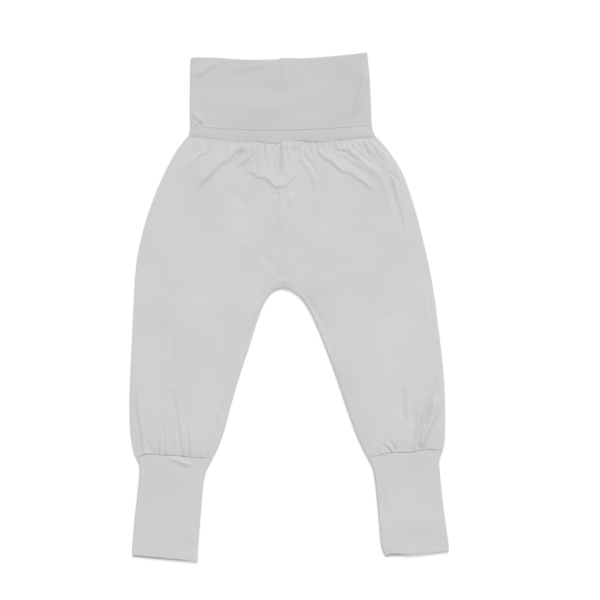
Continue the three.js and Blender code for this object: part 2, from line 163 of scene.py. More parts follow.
LEG_RIGHT_SECTIONS = (
    LegSection(-8.0, 165.4, -101.0, 170.3, 2.1, -1.2),
    LegSection(-8.4, 155.0, -112.0, 156.0, 2.4, -0.9),
    LegSection(-9.0, 135.0, -123.5, 135.0, 2.6, -0.4),
    LegSection(-9.4, 112.0, -134.0, 111.0, 2.6, 0.0),
    LegSection(-9.4, 82.0, -144.2, 81.0, 2.5, 0.0),
    LegSection(-8.4, 52.0, -150.8, 52.0, 2.3, 0.0),
    LegSection(-7.0, 32.0, -153.0, 34.0, 2.2, 0.0),
    LegSection(-6.0, 19.4, -154.0, 21.0, 2.1, 0.0),
    LegSection(-15.0, 16.0, -154.5, 8.0, 2.1, 0.0),
    LegSection(-23.5, 6.0, -155.2, -5.0, 2.2, 0.0),
    LegSection(-31.4, -13.0, -156.0, -22.0, 2.3, 0.0),
    LegSection(-39.6, -39.0, -157.0, -44.0, 2.4, 0.0),
    LegSection(-48.8, -67.0, -158.2, -69.0, 2.5, 0.0),
    LegSection(-57.4, -96.0, -159.0, -96.0, 2.6, 0.3),
    LegSection(-64.6, -123.0, -158.3, -123.0, 2.6, 1.0),
    LegSection(-71.0, -141.0, -155.6, -141.0, 2.1, 2.0),
    LegSection(-77.0, -152.8, -152.2, -150.5, 0.9, 2.5),
)
LEG_LEFT_SECTIONS = (
    LegSection(-8.0, 165.4, 86.5, 170.5, 2.1, -1.3),
    LegSection(-8.4, 155.0, 99.2, 156.0, 2.4, -0.9),
    LegSection(-9.0, 135.0, 112.5, 135.0, 2.6, -0.4),
    LegSection(-9.4, 112.0, 121.6, 111.0, 2.6, 0.0),
    LegSection(-9.4, 82.0, 130.3, 81.0, 2.5, 0.0),
    LegSection(-8.4, 52.0, 137.2, 52.0, 2.3, 0.0),
    LegSection(-7.0, 32.0, 141.2, 34.0, 2.2, 0.0),
    LegSection(-6.0, 19.4, 143.4, 21.0, 2.1, 0.0),
    LegSection(3.5, 15.8, 145.6, 8.0, 2.1, 0.0),
    LegSection(14.0, 7.0, 147.2, -5.0, 2.2, 0.0),
    LegSection(24.6, -11.0, 149.3, -22.0, 2.3, 0.0),
    LegSection(36.2, -39.0, 152.0, -44.0, 2.4, 0.0),
    LegSection(46.6, -67.0, 154.5, -69.0, 2.5, 0.0),
    LegSection(56.4, -96.0, 155.9, -96.0, 2.6, 0.3),
    LegSection(65.9, -123.0, 155.9, -122.0, 2.6, 1.0),
    LegSection(72.8, -139.0, 155.3, -136.0, 2.1, 1.6),
    LegSection(78.5, -149.8, 153.6, -144.0, 0.9, 2.0),
)
WAISTBAND_SECTIONS = (
    TubeSection(-97.8, 249.0, 77.9, 254.0, 0.3, -4.4),
    TubeSection(-98.3, 232.0, 80.2, 232.0, 0.9, -1.8),
    TubeSection(-98.6, 207.0, 81.6, 207.0, 1.1, 0.0),
    TubeSection(-98.6, 190.0, 82.2, 190.0, 1.0, -2.0),
    TubeSection(-98.2, 179.5, 82.6, 181.0, 0.7, -4.0),
)
CASING_SECTIONS = (
    TubeSection(-98.2, 179.5, 82.6, 181.0, 0.95, -4.0),
    TubeSection(-98.9, 174.9, 83.9, 175.7, 1.3, -4.5),
    TubeSection(-100.6, 170.3, 86.1, 170.5, 1.15, -4.96),
)
CUFF_RIGHT_SECTIONS = (
    TubeSection(-152.2, -150.5, -77.0, -152.8, 0.8, 2.5),
    TubeSection(-149.6, -157.0, -80.8, -160.0, 1.0, 1.4),
    TubeSection(-149.3, -168.0, -84.6, -171.0, 0.9, 0.5),
    TubeSection(-151.3, -188.0, -86.8, -190.0, 0.8, 0.0),
    TubeSection(-154.0, -213.0, -88.9, -216.0, 0.8, 0.0),
    TubeSection(-156.2, -239.0, -90.9, -244.0, 0.9, 0.0),
    TubeSection(-156.2, -249.8, -91.2, -254.9, 1.2, -0.4),
)
CUFF_LEFT_SECTIONS = (
    TubeSection(78.5, -149.8, 153.6, -144.0, 0.8, 2.0),
    TubeSection(83.6, -159.5, 150.3, -154.5, 1.0, 1.0),
    TubeSection(86.0, -171.0, 150.9, -168.0, 0.9, 0.3),
    TubeSection(88.2, -190.0, 153.0, -189.0, 0.8, 0.0),
    TubeSection(90.3, -213.0, 156.0, -213.0, 0.8, 0.0),
    TubeSection(92.6, -238.0, 158.9, -234.0, 0.9, 0.0),
    TubeSection(96.8, -249.8, 160.0, -244.4, 1.2, -0.3),
)

# Creases of the legs' front: gathers at the waist, the bulge over the crotch and the hips' folds
FRONT_CREASES = (
    Crease(((-42, 133.2), (-35.5, 133.2), (-30.5, 129.6), (-24.5, 128.6), (-19, 125.2), (-13.6, 119.6),
            (-9, 119.8), (-3.2, 121.6), (0, 125.2), (4, 129.2), (12, 130.2)), 1.55, 8.0, 1.45, 0.12, 0.15),
    Crease(((-16, 112), (-12, 111.8), (-8.3, 112)), -0.51, 1.2, 1.2),
    Crease(((0.6, 114), (1, 107), (0.5, 100)), 1.0, 3.0, 3.0),
    Crease(((3.8, 99.5), (3.6, 94), (3.2, 88)), -0.51, 1.6, 1.6),
    Crease(((-8.3, 162), (-8.6, 148), (-9.1, 127)), -1.5, 1.7, 1.7, 0.12, 0.3),
    Crease(((-13, 163), (-12.9, 145), (-12.8, 126)), 0.6, 1.6, 1.4, 0.1, 0.2),
    Crease(((-4.7, 163), (-4, 147), (-3.2, 130)), 0.68, 1.1, 1.1, 0.1, 0.2),
    Crease(((-24.2, 163), (-24.4, 156), (-24.2, 149.5)), -0.77, 0.9, 0.9, 0.05, 0.25),
    Crease(((-28.5, 163), (-28.5, 148), (-29, 133)), 1.0, 2.4, 2.2, 0.08, 0.3),
    Crease(((-20.2, 163), (-20.2, 150), (-19, 130)), 0.9, 1.8, 2.2, 0.08),
    Crease(((-16.5, 161), (-16.8, 154), (-17, 147)), -0.42, 1.1, 1.1, 0.08),
    Crease(((-2, 164), (-0.5, 157), (0.8, 149)), 0.85, 1.5, 1.5, 0.06, 0.3),
    Crease(((3.8, 162), (2.8, 156), (1.8, 150)), -0.59, 0.9, 0.9, 0.06),
    Crease(((11.5, 164.5), (7.5, 160), (3.6, 155.6)), 0.77, 1.3, 1.3, 0.06),
    Crease(((15, 162.5), (10, 158), (5.2, 153)), -0.7, 1.1, 1.1, 0.25),
    Crease(((14.2, 151), (19, 145.6), (22.9, 141.5), (25.4, 135.7), (26.8, 130.5)), -1.02, 1.2, 1.2, 0.1),
    Crease(((10.2, 153.5), (15.2, 143.2), (20.2, 137.5), (24, 129.5), (26.4, 120.3), (27.2, 109.5)),
           1.1, 1.7, 2.4, 0.15, 0.35),
    Crease(((18, 162), (20.8, 157), (23, 149.6)), -0.7, 1.0, 1.0, 0.25),
    Crease(((14.8, 162), (17.6, 156), (19.8, 150.5)), 0.42, 1.2, 1.2, 0.06),
    Crease(((27.6, 160.6), (31, 153.4), (35.6, 148.5), (43, 144.6), (48.2, 139), (54, 135.1), (59.5, 134.2),
            (64.4, 131), (69.2, 127.3), (74, 125), (79, 120.4), (84.5, 117.3), (88, 113.8)),
           1.32, 4.4, 1.35, 0.08, 0.2),
    Crease(((32.6, 146.2), (41, 141.6), (46.5, 136), (52.3, 132), (58.5, 131.2)), -0.42, 1.5, 1.5),
    Crease(((45.1, 152), (52.9, 149), (62.5, 142.5), (71.2, 135.7), (78, 129.9), (86, 124)),
           -0.68, 2.2, 2.2),
    Crease(((42.2, 163), (45.1, 157.4), (50.9, 155.1), (56.7, 153.9), (60.6, 150.2), (64.5, 147),
            (69.5, 145.2)), -0.85, 1.0, 1.0, 0.06, 0.2),
    Crease(((48, 163), (52, 158.7), (58, 156.9), (63.4, 152.4)), 0.68, 1.1, 1.1, 0.08),
    Crease(((56.2, 163.4), (60.6, 158.4), (65.4, 152.8), (71.2, 147.8), (77, 141.5), (82.8, 137.5),
            (89.2, 131.9), (93.3, 126.1), (96.9, 117.4), (99, 109.6), (101, 98), (104, 84), (107.6, 70)),
           1.1, 2.0, 3.0, 0.06, 0.4),
    Crease(((61.8, 162), (68.3, 154.9), (73.2, 150.1), (78, 146.2), (82.7, 143), (88.5, 138)),
           -0.94, 1.2, 1.2, 0.08, 0.35),
    Crease(((73.2, 157), (82.8, 148), (91.5, 139.2), (97.5, 132.5)), -0.77, 3.6, 3.6),
    Crease(((76.1, 165), (80.7, 158.7), (85.3, 152.7), (89, 147.6)), 0.77, 1.1, 1.1, 0.06),
    Crease(((79.9, 165), (83.2, 160.6), (88, 151), (93.5, 146), (99.3, 144.6)), -0.94, 1.0, 1.0, 0.06),
    Crease(((84.5, 165), (91, 157.5), (97, 149.5), (103, 139)), 1.0, 1.5, 4.4, 0.08),
    Crease(((99.4, 132), (102.2, 121.2), (104.2, 112.5), (107, 103.8), (109.8, 94.2), (111.8, 84.5),
            (115.4, 68)), -1.5, 1.8, 1.8, 0.15, 0.22),
    Crease(((104.6, 127), (107.4, 117.5), (110, 107)), 0.68, 1.7, 1.7),
    Crease(((94.6, 133.8), (100, 132.3), (105.1, 130.4), (109.5, 124.1), (112, 117.5)),
           -0.85, 1.3, 1.3, 0.2),
    Crease(((-76, 164.5), (-81.2, 155.5), (-94.5, 147.6), (-100, 140.9), (-105.4, 133.7), (-108.4, 125.5)),
           0.94, 1.3, 1.6, 0.08, 0.25),
    Crease(((-84, 161), (-97, 150.6), (-104.5, 141)), -0.42, 2.4, 2.4),
    Crease(((-78.2, 162.5), (-84, 152.6), (-92.5, 146)), -0.51, 1.3, 1.3, 0.1),
    Crease(((-42, 164), (-45.6, 159), (-53.4, 155.4), (-56.2, 152.7), (-62.5, 146.5), (-68, 143.7),
            (-75.2, 137), (-81.4, 130.2), (-86, 125.6), (-89.7, 120), (-92.4, 113.2), (-95.2, 101)),
           2.0, 2.9, 5.6, 0.06, 0.35),
    Crease(((-71.5, 133.5), (-79, 126), (-84.5, 120.3), (-88, 113), (-90.5, 103)), -0.77, 2.5, 2.5),
    Crease(((-43.8, 163.4), (-48.5, 160), (-53.5, 157.4)), 0.77, 1.1, 1.1, 0.06),
    Crease(((-34, 163), (-35.5, 154.6), (-40, 149), (-45.4, 144.5), (-54, 137.4)),
           1.3, 1.3, 2.4, 0.06, 0.25),
    Crease(((-38.3, 145.4), (-44, 140.5), (-50.5, 134.6)), -0.51, 1.5, 1.5),
    Crease(((-48.6, 150.8), (-52.5, 145.7), (-57.5, 139.9)), -0.68, 1.1, 1.1),
    Crease(((-63, 120), (-52.6, 110.3), (-39, 101.6)), -0.6, 4.6, 6.0),
    Crease(((-80, 136), (-92, 112), (-104, 86), (-112, 58)), -0.9, 5.5, 6.5),
    Crease(((-66, 126), (-78, 100), (-86, 72)), 1.0, 6.5, 6.5),
    Crease(((-32, 58), (-20, 44), (-6, 29.5)), -0.7, 4.5, 4.5),
    Crease(((-26, 9), (-34, -5), (-40.5, -22), (-47.5, -40)), 1.0, 2.0, 2.8, 0.3, 0.4),
    Crease(((-4, 27), (-4.8, 36), (-5.8, 47)), -0.5, 1.3, 1.3, 0.2, 0.6),
    Crease(((-10.5, 27), (-13, 34), (-17.5, 43)), -0.5, 1.4, 1.4, 0.2, 0.6),
    Crease(((1.5, 25), (4.4, 30), (6.6, 38)), 0.5, 1.4, 1.4, 0.2, 0.6),
    Crease(((-12, 23), (-6, 25.5), (0, 24.5), (5, 21)), 0.6, 1.8, 2.0),
    Crease(((9, 18), (20, 6), (30, -12), (42, -40), (52, -68)), -0.59, 3, 3),
    Crease(((-117, -13.5), (-117, -40), (-117, -65.5)), -0.42, 1.4, 1.4),
    Crease(((-78, -3), (-71, -5.5), (-64, -7)), 0.34, 8, 8),
    Crease(((48, 39.5), (55, 43), (61, 46.5)), -0.51, 3.4, 3.4),
    Crease(((138.5, 16), (141, -2), (143, -22), (144, -44)), -0.59, 1.4, 1.4),
    Crease(((135, 22), (137.6, 0), (139.6, -24)), 0.51, 1.7, 1.7),
)
RIGHT_CUFF_CREASES = (
    Crease(((-151, -149), (-144, -148), (-134, -147.4)), 1.04, 1.0, 1.0, 0.2, 0.4),
    Crease(((-154.2, -78), (-152.9, -95.5), (-152, -107.2), (-150.6, -118), (-148.4, -129.7),
            (-147.5, -148)), -1.6, 1.1, 1.1, 0.3, 0.05),
    Crease(((-129.5, -112), (-127.6, -124), (-126.8, -136), (-126.2, -150)), 1.3, 1.6, 2.0, 0.7, 0.06),
    Crease(((-124.4, -122), (-123.9, -136), (-123.4, -150)), -0.3, 1.2, 1.2, 0.7, 0.06),
    Crease(((-122, -112), (-121.2, -126), (-120.6, -150)), 1.3, 1.8, 2.8, 0.7, 0.06),
    Crease(((-113.5, -110), (-112.6, -130), (-111.6, -150)), 1.3, 2.0, 3.0, 0.7, 0.06),
    Crease(((-109.6, -100), (-107.4, -119), (-105.4, -133), (-104, -150)), 1.8, 2.0, 2.6, 0.5, 0.06),
    Crease(((-103.6, -108), (-101.6, -122), (-100.4, -136), (-99.8, -151)), -0.6, 1.9, 1.6, 0.6, 0.06),
    Crease(((-97.6, -122), (-97, -134), (-96.8, -151)), 1.1, 1.8, 2.4, 0.7, 0.06),
    Crease(((-115.1, -80), (-115.1, -95.5), (-113.3, -109)), -0.8, 2.7, 2.7),
    Crease(((-110.3, -94), (-107.5, -113)), 0.78, 3.2, 3.2),
    Crease(((-65, -86), (-68.6, -99.1), (-70.6, -111.7), (-72.2, -123)), 1.3, 2.1, 2.1),
    Crease(((-57.8, -78), (-61.7, -91), (-65, -102), (-67.6, -115)), -1.0, 1.7, 1.7),
    Crease(((-145.2, -136), (-143.6, -144), (-143, -150)), 1.17, 1.8, 1.8, 0.8, 0.02),
    Crease(((-139.8, -136), (-136.2, -144), (-134, -150)), -0.8, 1.1, 1.1, 0.8, 0.02),
    Crease(((-139.2, -128), (-139, -138)), 0.65, 1.3, 1.3),
    Crease(((-131.6, -134), (-130.5, -150)), -0.6, 1.1, 1.1, 0.8, 0.02),
    Crease(((-87.5, -138), (-87.2, -151)), 0.91, 1.5, 1.5, 0.8, 0.02),
    Crease(((-82.4, -141), (-82.2, -152)), -0.6, 1.2, 1.2, 0.8, 0.02),
)
LEFT_CUFF_CREASES = (
    Crease(((151, -88), (145.4, -97), (143.2, -108), (139.9, -119), (134.9, -130), (131.6, -143)),
           3.0, 3.2, 3.2, 0.25, 0.12),
    Crease(((144.3, -78), (142, -90), (137.9, -100), (136, -108), (132.2, -117), (128.2, -130),
            (127, -143)), -1.6, 2.2, 2.2, 0.25, 0.1),
    Crease(((132.7, -81), (132.4, -101), (129.8, -113.5), (127.2, -126), (125.2, -143)),
           1.9, 2.1, 2.1, 0.45, 0.1),
    Crease(((127.4, -116), (125.4, -126), (123.4, -137)), -0.9, 1.0, 1.0, 0.3, 0.3),
    Crease(((152.1, -100), (147.7, -112), (142.4, -122), (138.2, -130), (135, -143)),
           -1.2, 2.0, 2.2, 0.3, 0.02),
    Crease(((145, -68), (144, -84)), -0.9, 3.2, 3.2),
    Crease(((113.8, -78), (113.6, -100), (113, -132)), -1.0, 2.6, 3.0),
    Crease(((119, -90), (118.8, -114)), 1.0, 2.6, 2.6),
    Crease(((124.5, -100), (124, -111), (122, -124)), -1.0, 2.6, 2.6),
    Crease(((82, -147.8), (97.3, -145.5), (116, -143.6), (134.8, -142.6), (151, -142.4)),
           0.5, 0.9, 0.9, 0.05, 0.05),
    Crease(((109.6, -136.6), (112, -134.6), (115.4, -134)), -0.5, 1.2, 1.2),
    Crease(((98.6, -131), (102, -136), (107, -143.5)), -1.0, 1.2, 1.2, 0.5, 0.03),
    Crease(((92.6, -137), (97, -141.2), (101.4, -145)), -1.0, 1.2, 1.2, 0.4, 0.03),
    Crease(((95.2, -133.4), (99.4, -138.4), (103.8, -144.6)), 0.8, 1.4, 1.4, 0.5, 0.03),
    Crease(((119, -127), (117, -136), (117.4, -144)), 0.8, 2.0, 2.0, 0.3, 0.02),
    Crease(((81.4, -139), (82.2, -147)), 0.7, 1.4, 1.4, 0.3, 0.05),
    Crease(((110.9, -136), (110.2, -144.5)), 0.6, 1.2, 1.2, 0.3, 0.02),
    Crease(((87.6, -139), (88.4, -146.6)), -0.5, 1.1, 1.1, 0.4, 0.02),
    Crease(((144.6, -130), (142.6, -143)), 0.5, 1.8, 1.8, 0.4, 0.02),
    Crease(((149, -126), (148, -143)), -0.45, 1.8, 1.8, 0.4, 0.02),
)

# Creases on the back: they rise from the surface that the pants lie on
BACK_CREASES = (
    Crease(((-30, 162), (-33, 146), (-42, 130)), 0.7, 1.8, 2.6, 0.05),
    Crease(((-52, 163), (-61, 148), (-76, 131)), 0.8, 1.8, 3.0, 0.05),
    Crease(((-72, 165), (-84, 150), (-99, 134)), 0.6, 2.0, 2.0, 0.05),
    Crease(((-15, 162), (-16, 150), (-17, 138)), 0.6, 1.4, 1.4, 0.05),
    Crease(((4, 162), (6, 149), (8, 140)), 0.6, 1.5, 1.5, 0.05),
    Crease(((19, 162), (25, 146), (36, 128)), 0.8, 1.8, 2.8, 0.05),
    Crease(((40, 164), (50, 149), (66, 133)), 0.7, 1.8, 2.4, 0.05),
    Crease(((62, 165), (73, 152), (88, 139)), 0.6, 2.0, 2.0, 0.05),
    Crease(((-38, 120), (-9, 109), (22, 121)), 0.6, 4.0, 1.8),
    Crease(((-140, -60), (-136, -100), (-131, -148)), 0.6, 2.2, 2.2, 0.4, 0.05),
    Crease(((-118, -96), (-117, -122), (-116, -149)), 0.7, 1.8, 1.8, 0.4, 0.05),
    Crease(((-96, -104), (-98, -128), (-100, -150)), 0.7, 1.6, 1.6, 0.4, 0.05),
    Crease(((-78, -112), (-82, -132), (-88, -150)), 0.6, 1.6, 1.6, 0.4, 0.05),
    Crease(((136, -70), (132, -106), (126, -143)), 0.7, 2.4, 2.4, 0.4, 0.05),
    Crease(((112, -100), (112, -122), (111, -145)), 0.7, 1.8, 1.8, 0.4, 0.05),
    Crease(((88, -110), (92, -130), (97, -147)), 0.7, 1.6, 1.6, 0.4, 0.05),
    Crease(((148, -104), (144, -126), (139, -143)), 0.6, 1.6, 1.6, 0.4, 0.05),
)

# Creases of the doubled pieces; the band's middle shows the centre-back seam through its layers
WAISTBAND_CREASES = (
    Crease(((-93, 228), (-82, 237), (-68, 246)), 1.5, 3.8, 3.0),
    Crease(((-62, 236.6), (-38, 240), (-15, 243.4)), 0.7, 3.0, 3.0),
    Crease(((-64, 229), (-45, 232), (-24, 236)), -0.6, 3.6, 3.6),
    Crease(((79.4, 240), (73, 213.7), (61.6, 185)), 2.4, 3.8, 4.4),
    Crease(((72, 236), (65, 214), (56, 192)), -0.8, 4.0, 4.0),
    Crease(((-99, 192.4), (-93, 190.8), (-88.8, 187.6), (-86, 183)), 1.5, 2.4, 3.6, 0.01, 0.3),
    Crease(((-91, 183.4), (-88.6, 181), (-87.4, 178.8)), -1.8, 1.3, 1.3, 0.3, 0.1),
    Crease(((-96, 184.6), (-93, 182.6), (-91, 180.4)), 0.9, 1.6, 1.6, 0.1, 0.4),
    Crease(((26.5, 196.4), (31, 193), (35.5, 190)), -0.5, 0.9, 0.9),
    Crease(((-9.4, 246), (-9.4, 225), (-9.4, 198)), -0.35, 1.0, 1.6, 0.1, 0.5),
    Crease(((-7, 246), (-7, 228), (-7.2, 204)), 0.35, 1.0, 1.6, 0.1, 0.5),
    Crease(((-4.2, 243.4), (-4.2, 228.6)), 0.5, 0.9, 0.9),
    Crease(((4.9, 244.6), (4.9, 230.6)), 0.5, 0.9, 0.9),
    Crease(((-96, 180.6), (-53, 178.2), (-7.8, 177.5), (37.4, 178.9), (81, 182.1)),
           0.4, 0.8, 0.8, 0.04, 0.04),
    Crease(((-60, 222), (-10, 216), (44, 221)), -0.7, 8, 8),
    Crease(((-84, 204), (-30, 198), (26, 203)), 0.6, 7, 7),
    Crease(((36, 240), (46, 226), (50, 208)), -0.7, 7, 7),
)
CASING_CREASES = (
    Crease(((-98, 172.2), (-84, 171.4), (-62, 170)), 0.55, 6.5, 1.5, 0.05, 0.5),
    Crease(((84, 172.8), (66, 171.2), (28, 169)), 0.65, 1.5, 6.5, 0.05, 0.5),
)
RIGHT_CUFF_TUBE_CREASES = (
    Crease(((-122, -152.2), (-111, -153.2), (-105, -155.4), (-99, -156.4), (-92, -153.6)), 2.1, 2.4, 2.4),
    Crease(((-95.5, -220), (-95.4, -238), (-94.8, -251)), 0.4, 2.8, 2.8, 0.3, 0.05),
    Crease(((-99.2, -222), (-99.2, -240), (-99, -250)), -0.2, 1.8, 1.8),
    Crease(((-147, -201), (-147, -221)), 0.22, 1.6, 1.6),
    Crease(((-94.1, -178), (-94.1, -192)), 0.22, 1.5, 1.5),
    Crease(((-140, -156), (-138, -170), (-138.6, -186)), 0.35, 2.6, 2.6),
    Crease(((-127, -164.4), (-118, -166.8)), -0.2, 1.4, 1.4),
    Crease(((-132, -222), (-133, -240)), -0.3, 2.4, 2.4),
    Crease(((-122, -182), (-121.6, -204)), 0.25, 2.6, 2.6),
)
LEFT_CUFF_TUBE_CREASES = (
    Crease(((85, -150.2), (92, -149.8), (100, -149.9)), -0.4, 1.0, 1.0, 0.1, 0.2),
    Crease(((138, -148.2), (143, -147.8), (147, -147.7)), -0.4, 1.1, 1.1, 0.2, 0.1),
    Crease(((89, -153.4), (94, -154.6), (101, -155.8)), 0.25, 1.6, 1.4),
    Crease(((88, -161), (99, -161.6)), -0.22, 1.8, 1.8),
    Crease(((98.2, -177), (98.8, -195), (99, -212)), 0.35, 1.5, 1.5),
    Crease(((103.2, -175), (103.8, -194)), -0.25, 1.7, 1.7),
    Crease(((110.4, -211), (111.5, -229)), -0.3, 2.4, 2.4),
    Crease(((119.2, -225), (119.2, -245)), -0.3, 2.2, 2.2),
    Crease(((116.2, -226), (116.2, -242)), 0.2, 1.8, 1.8),
    Crease(((97.6, -232), (100.8, -235.3), (106, -232.2)), -0.35, 1.2, 1.2, 0.15, 0.15),
    Crease(((130, -241), (140, -240.2), (150, -237.2)), -0.3, 2.2, 2.2),
    Crease(((128, -150), (129, -166), (130, -184)), 0.3, 3, 3),
    Crease(((145, -176), (147, -200)), 0.2, 2.0, 2.0),
)

# The same pieces' backs, which rise from the surface too; the first two are the band's back seam
BAND_BACK_CREASES = (
    Crease(((-9.6, 250), (-9.6, 215), (-9.4, 178)), 0.35, 0.9, 0.9, 0.05, 0.05),
    Crease(((-6.4, 250), (-6.4, 216), (-6.2, 180)), 0.3, 1.2, 1.2, 0.05, 0.05),
    Crease(((-94, 232), (-80, 214), (-72, 192)), 0.8, 3.2, 2.4),
    Crease(((-60, 244), (-36, 239), (-16, 241)), 0.5, 2.6, 3.4),
    Crease(((74, 240), (66, 219), (61, 194)), 0.9, 2.6, 3.6),
    Crease(((14, 236), (30, 228), (48, 226)), 0.4, 3.4, 3.0),
    Crease(((-50, 190), (-22, 196), (12, 192)), 0.45, 4.0, 3.0),
)
CUFF_BACK_CREASES = (
    Crease(((-140, -154), (-137, -176), (-138, -196)), 0.6, 2.0, 2.6, 0.1),
    Crease(((-112, -156), (-110, -170), (-111, -186)), 0.5, 2.4, 2.0, 0.1),
    Crease(((-98, -205), (-98, -226), (-100, -248)), 0.5, 2.6, 2.2, 0.4, 0.05),
    Crease(((-130, -214), (-126, -228), (-124, -246)), 0.4, 2.0, 3.0, 0.4, 0.05),
    Crease(((96, -154), (99, -172), (100, -194)), 0.6, 2.4, 2.0, 0.1),
    Crease(((126, -152), (128, -166), (132, -180)), 0.5, 2.0, 2.6, 0.1),
    Crease(((146, -190), (148, -214), (150, -238)), 0.5, 2.2, 2.2, 0.4, 0.1),
    Crease(((108, -206), (112, -222), (113, -244)), 0.4, 2.8, 2.0, 0.4, 0.05),
)


def mix(start: Array | float, end: Array | float, share: Array | float) -> Array | float:
    """Blend two values, with share 0 at start and 1 at end."""
    return start + (end - start) * share


def smooth(value: Array | float) -> Array:
    """Ease a value from 0 to 1, held at both ends."""
    held = np.clip(value, 0.0, 1.0)
    return held * held * (3.0 - 2.0 * held)


def fading(distance: Array | float, reach: float) -> Array:
    """Ease from 1 at a distance of 0 down to 0 at the reach."""
    return 1 - smooth(distance / reach)


def bell(distance: Array, width: Array | float) -> Array:
    """Return 1 at a distance of 0, dying away evenly to next to nothing at twice the width."""
    return np.exp(-((distance / width) ** 2))


def loft_share(distance: Array) -> Array:
    """Return how much of the cloth's loft has come up at a distance from a side."""
    return 1 - np.exp(-distance / LOFT_REACH)


def column(rows: Sequence[LegSection] | Sequence[TubeSection], name: str) -> Array:
    """Read one named column of a table of sections."""
    return np.array([getattr(row, name) for row in rows], dtype=float)


def spline(values: Array, places: Array, corner: int | None = None) -> Array:
    """Read a table's column between its rows, on a smooth curve through them.

    Args:
        values: The column, one value a row.
        places: Row numbers, which may lie between two rows.
        corner: A row where the curve may turn sharply.

    Returns:
        One value for each place.
    """
    last = len(values) - 1
    row = np.minimum(np.floor(places).astype(int), last - 1)
    low = np.zeros_like(row)
    high = np.full_like(row, last)
    if corner is not None:
        low[row >= corner] = corner
        high[row < corner] = corner
    before, here, after, beyond = (values[np.clip(row + k, low, high)] for k in (-1, 0, 1, 2))
    share = places - row
    out = (after - before) / 2
    back = (beyond - here) / 2
    cubic = 2 * (here - after) + out + back
    return here + share * (out + share * (3 * (after - here) - 2 * out - back + share * cubic))


def spread(length: float, step: float, near: float, reach: float) -> Array:
    """Space distances along a length, closer together towards both ends.

    Args:
        length: The last distance; the first is 0.
        step: Spacing away from the ends.
        near: Spacing at the ends.
        reach: How far from an end the spacing grows to its full size.

    Returns:
        The distances, in order.
    """
    fine = np.linspace(0.0, length, 4000)
    from_end = np.minimum(fine, length - fine)
    local = near + (step - near) * np.clip(from_end / reach, 0.0, 1.0)
    steps = np.diff(fine) * 2 / (local[1:] + local[:-1])
    count = np.concatenate([[0.0], np.cumsum(steps)])
    return np.interp(np.linspace(0.0, count[-1], math.ceil(count[-1]) + 1), count, fine)


def relief(creases: Sequence[Crease], x: Array, y: Array) -> Array:
    """Add up the heights of creases.

    Args:
        creases: The ridges and troughs.
        x: Positions across the pants.
        y: Positions along them.

    Returns:
        A height for each position.
    """
    total = np.zeros_like(x)
    for crease in creases:
        points = np.array(crease.route, dtype=float)
        last = len(points) - 1
        places = np.linspace(0, last, last * 5 + 1)
        route = np.stack([spline(points[:, 0], places), spline(points[:, 1], places)], axis=1)
        margin = 3.2 * max(crease.left, crease.right)
        low, high = route.min(axis=0) - margin, route.max(axis=0) + margin
        near = (x > low[0]) & (x < high[0]) & (y > low[1]) & (y < high[1])
        if near.any():
            total[near] += crease_height(crease, route, x[near], y[near])
    return total


def beside(route: Array, x: Array, y: Array) -> tuple[Array, Array, Array]:
    """Measure from positions to a route.

    Args:
        route: The route, a row for each point.
        x: Positions across the pants.
        y: Positions along them.

    Returns:
        For each position its distance, the share of the route passed there, and a number that is
        over 0 on the left of the travel.
    """
    nearest = np.full(x.shape, np.inf)
    along = np.zeros_like(x)
    side = np.zeros_like(x)
    count = len(route) - 1
    for i in range(count):
        start, run = route[i], route[i + 1] - route[i]
        rel_x, rel_y = x - start[0], y - start[1]
        share = np.clip((rel_x * run[0] + rel_y * run[1]) / (run @ run), 0.0, 1.0)
        distance = np.hypot(rel_x - share * run[0], rel_y - share * run[1])
        closer = distance < nearest
        nearest = np.where(closer, distance, nearest)
        along = np.where(closer, (i + share) / count, along)
        side = np.where(closer, run[0] * rel_y - run[1] * rel_x, side)
    return nearest, along, side


def crease_height(crease: Crease, route: Array, x: Array, y: Array) -> Array:
    """Work out one crease's height.

    Args:
        crease: The crease.
        route: Its smoothed route, a row for each point.
        x: Positions across the pants.
        y: Positions along them.

    Returns:
        A height for each position.
    """
    nearest, along, side = beside(route, x, y)
    width = np.where(side > 0, crease.left, crease.right)
    fade = smooth(along / crease.rise) * smooth((1 - along) / crease.fall)
    return crease.height * fade * bell(nearest, width * (0.55 + 0.45 * fade))


@dataclass(frozen=True)
class Undulation:
    """Slow uneven swells of cloth that was smoothed out by hand.

    Attributes:
        seed: Seed of their draws.
        height: Their usual height.
        shortest: Length of the shortest wave.
        longest: Length of the longest one.
        waves: How many waves are laid over one another.
    """

    seed: int
    height: float
    shortest: float
    longest: float
    waves: int = 22

    def at(self, x: Array, y: Array) -> Array:
        """Return the swell's height at each position."""
        rng = np.random.default_rng(self.seed)
        total = np.zeros_like(x)
        for _ in range(self.waves):
            length = rng.uniform(self.shortest, self.longest)
            turn = rng.uniform(0.0, math.pi)
            phase = rng.uniform(0.0, 2 * math.pi)
            total += np.sin((x * math.cos(turn) + y * math.sin(turn)) * 2 * math.pi / length + phase)
        return total * self.height / math.sqrt(self.waves)


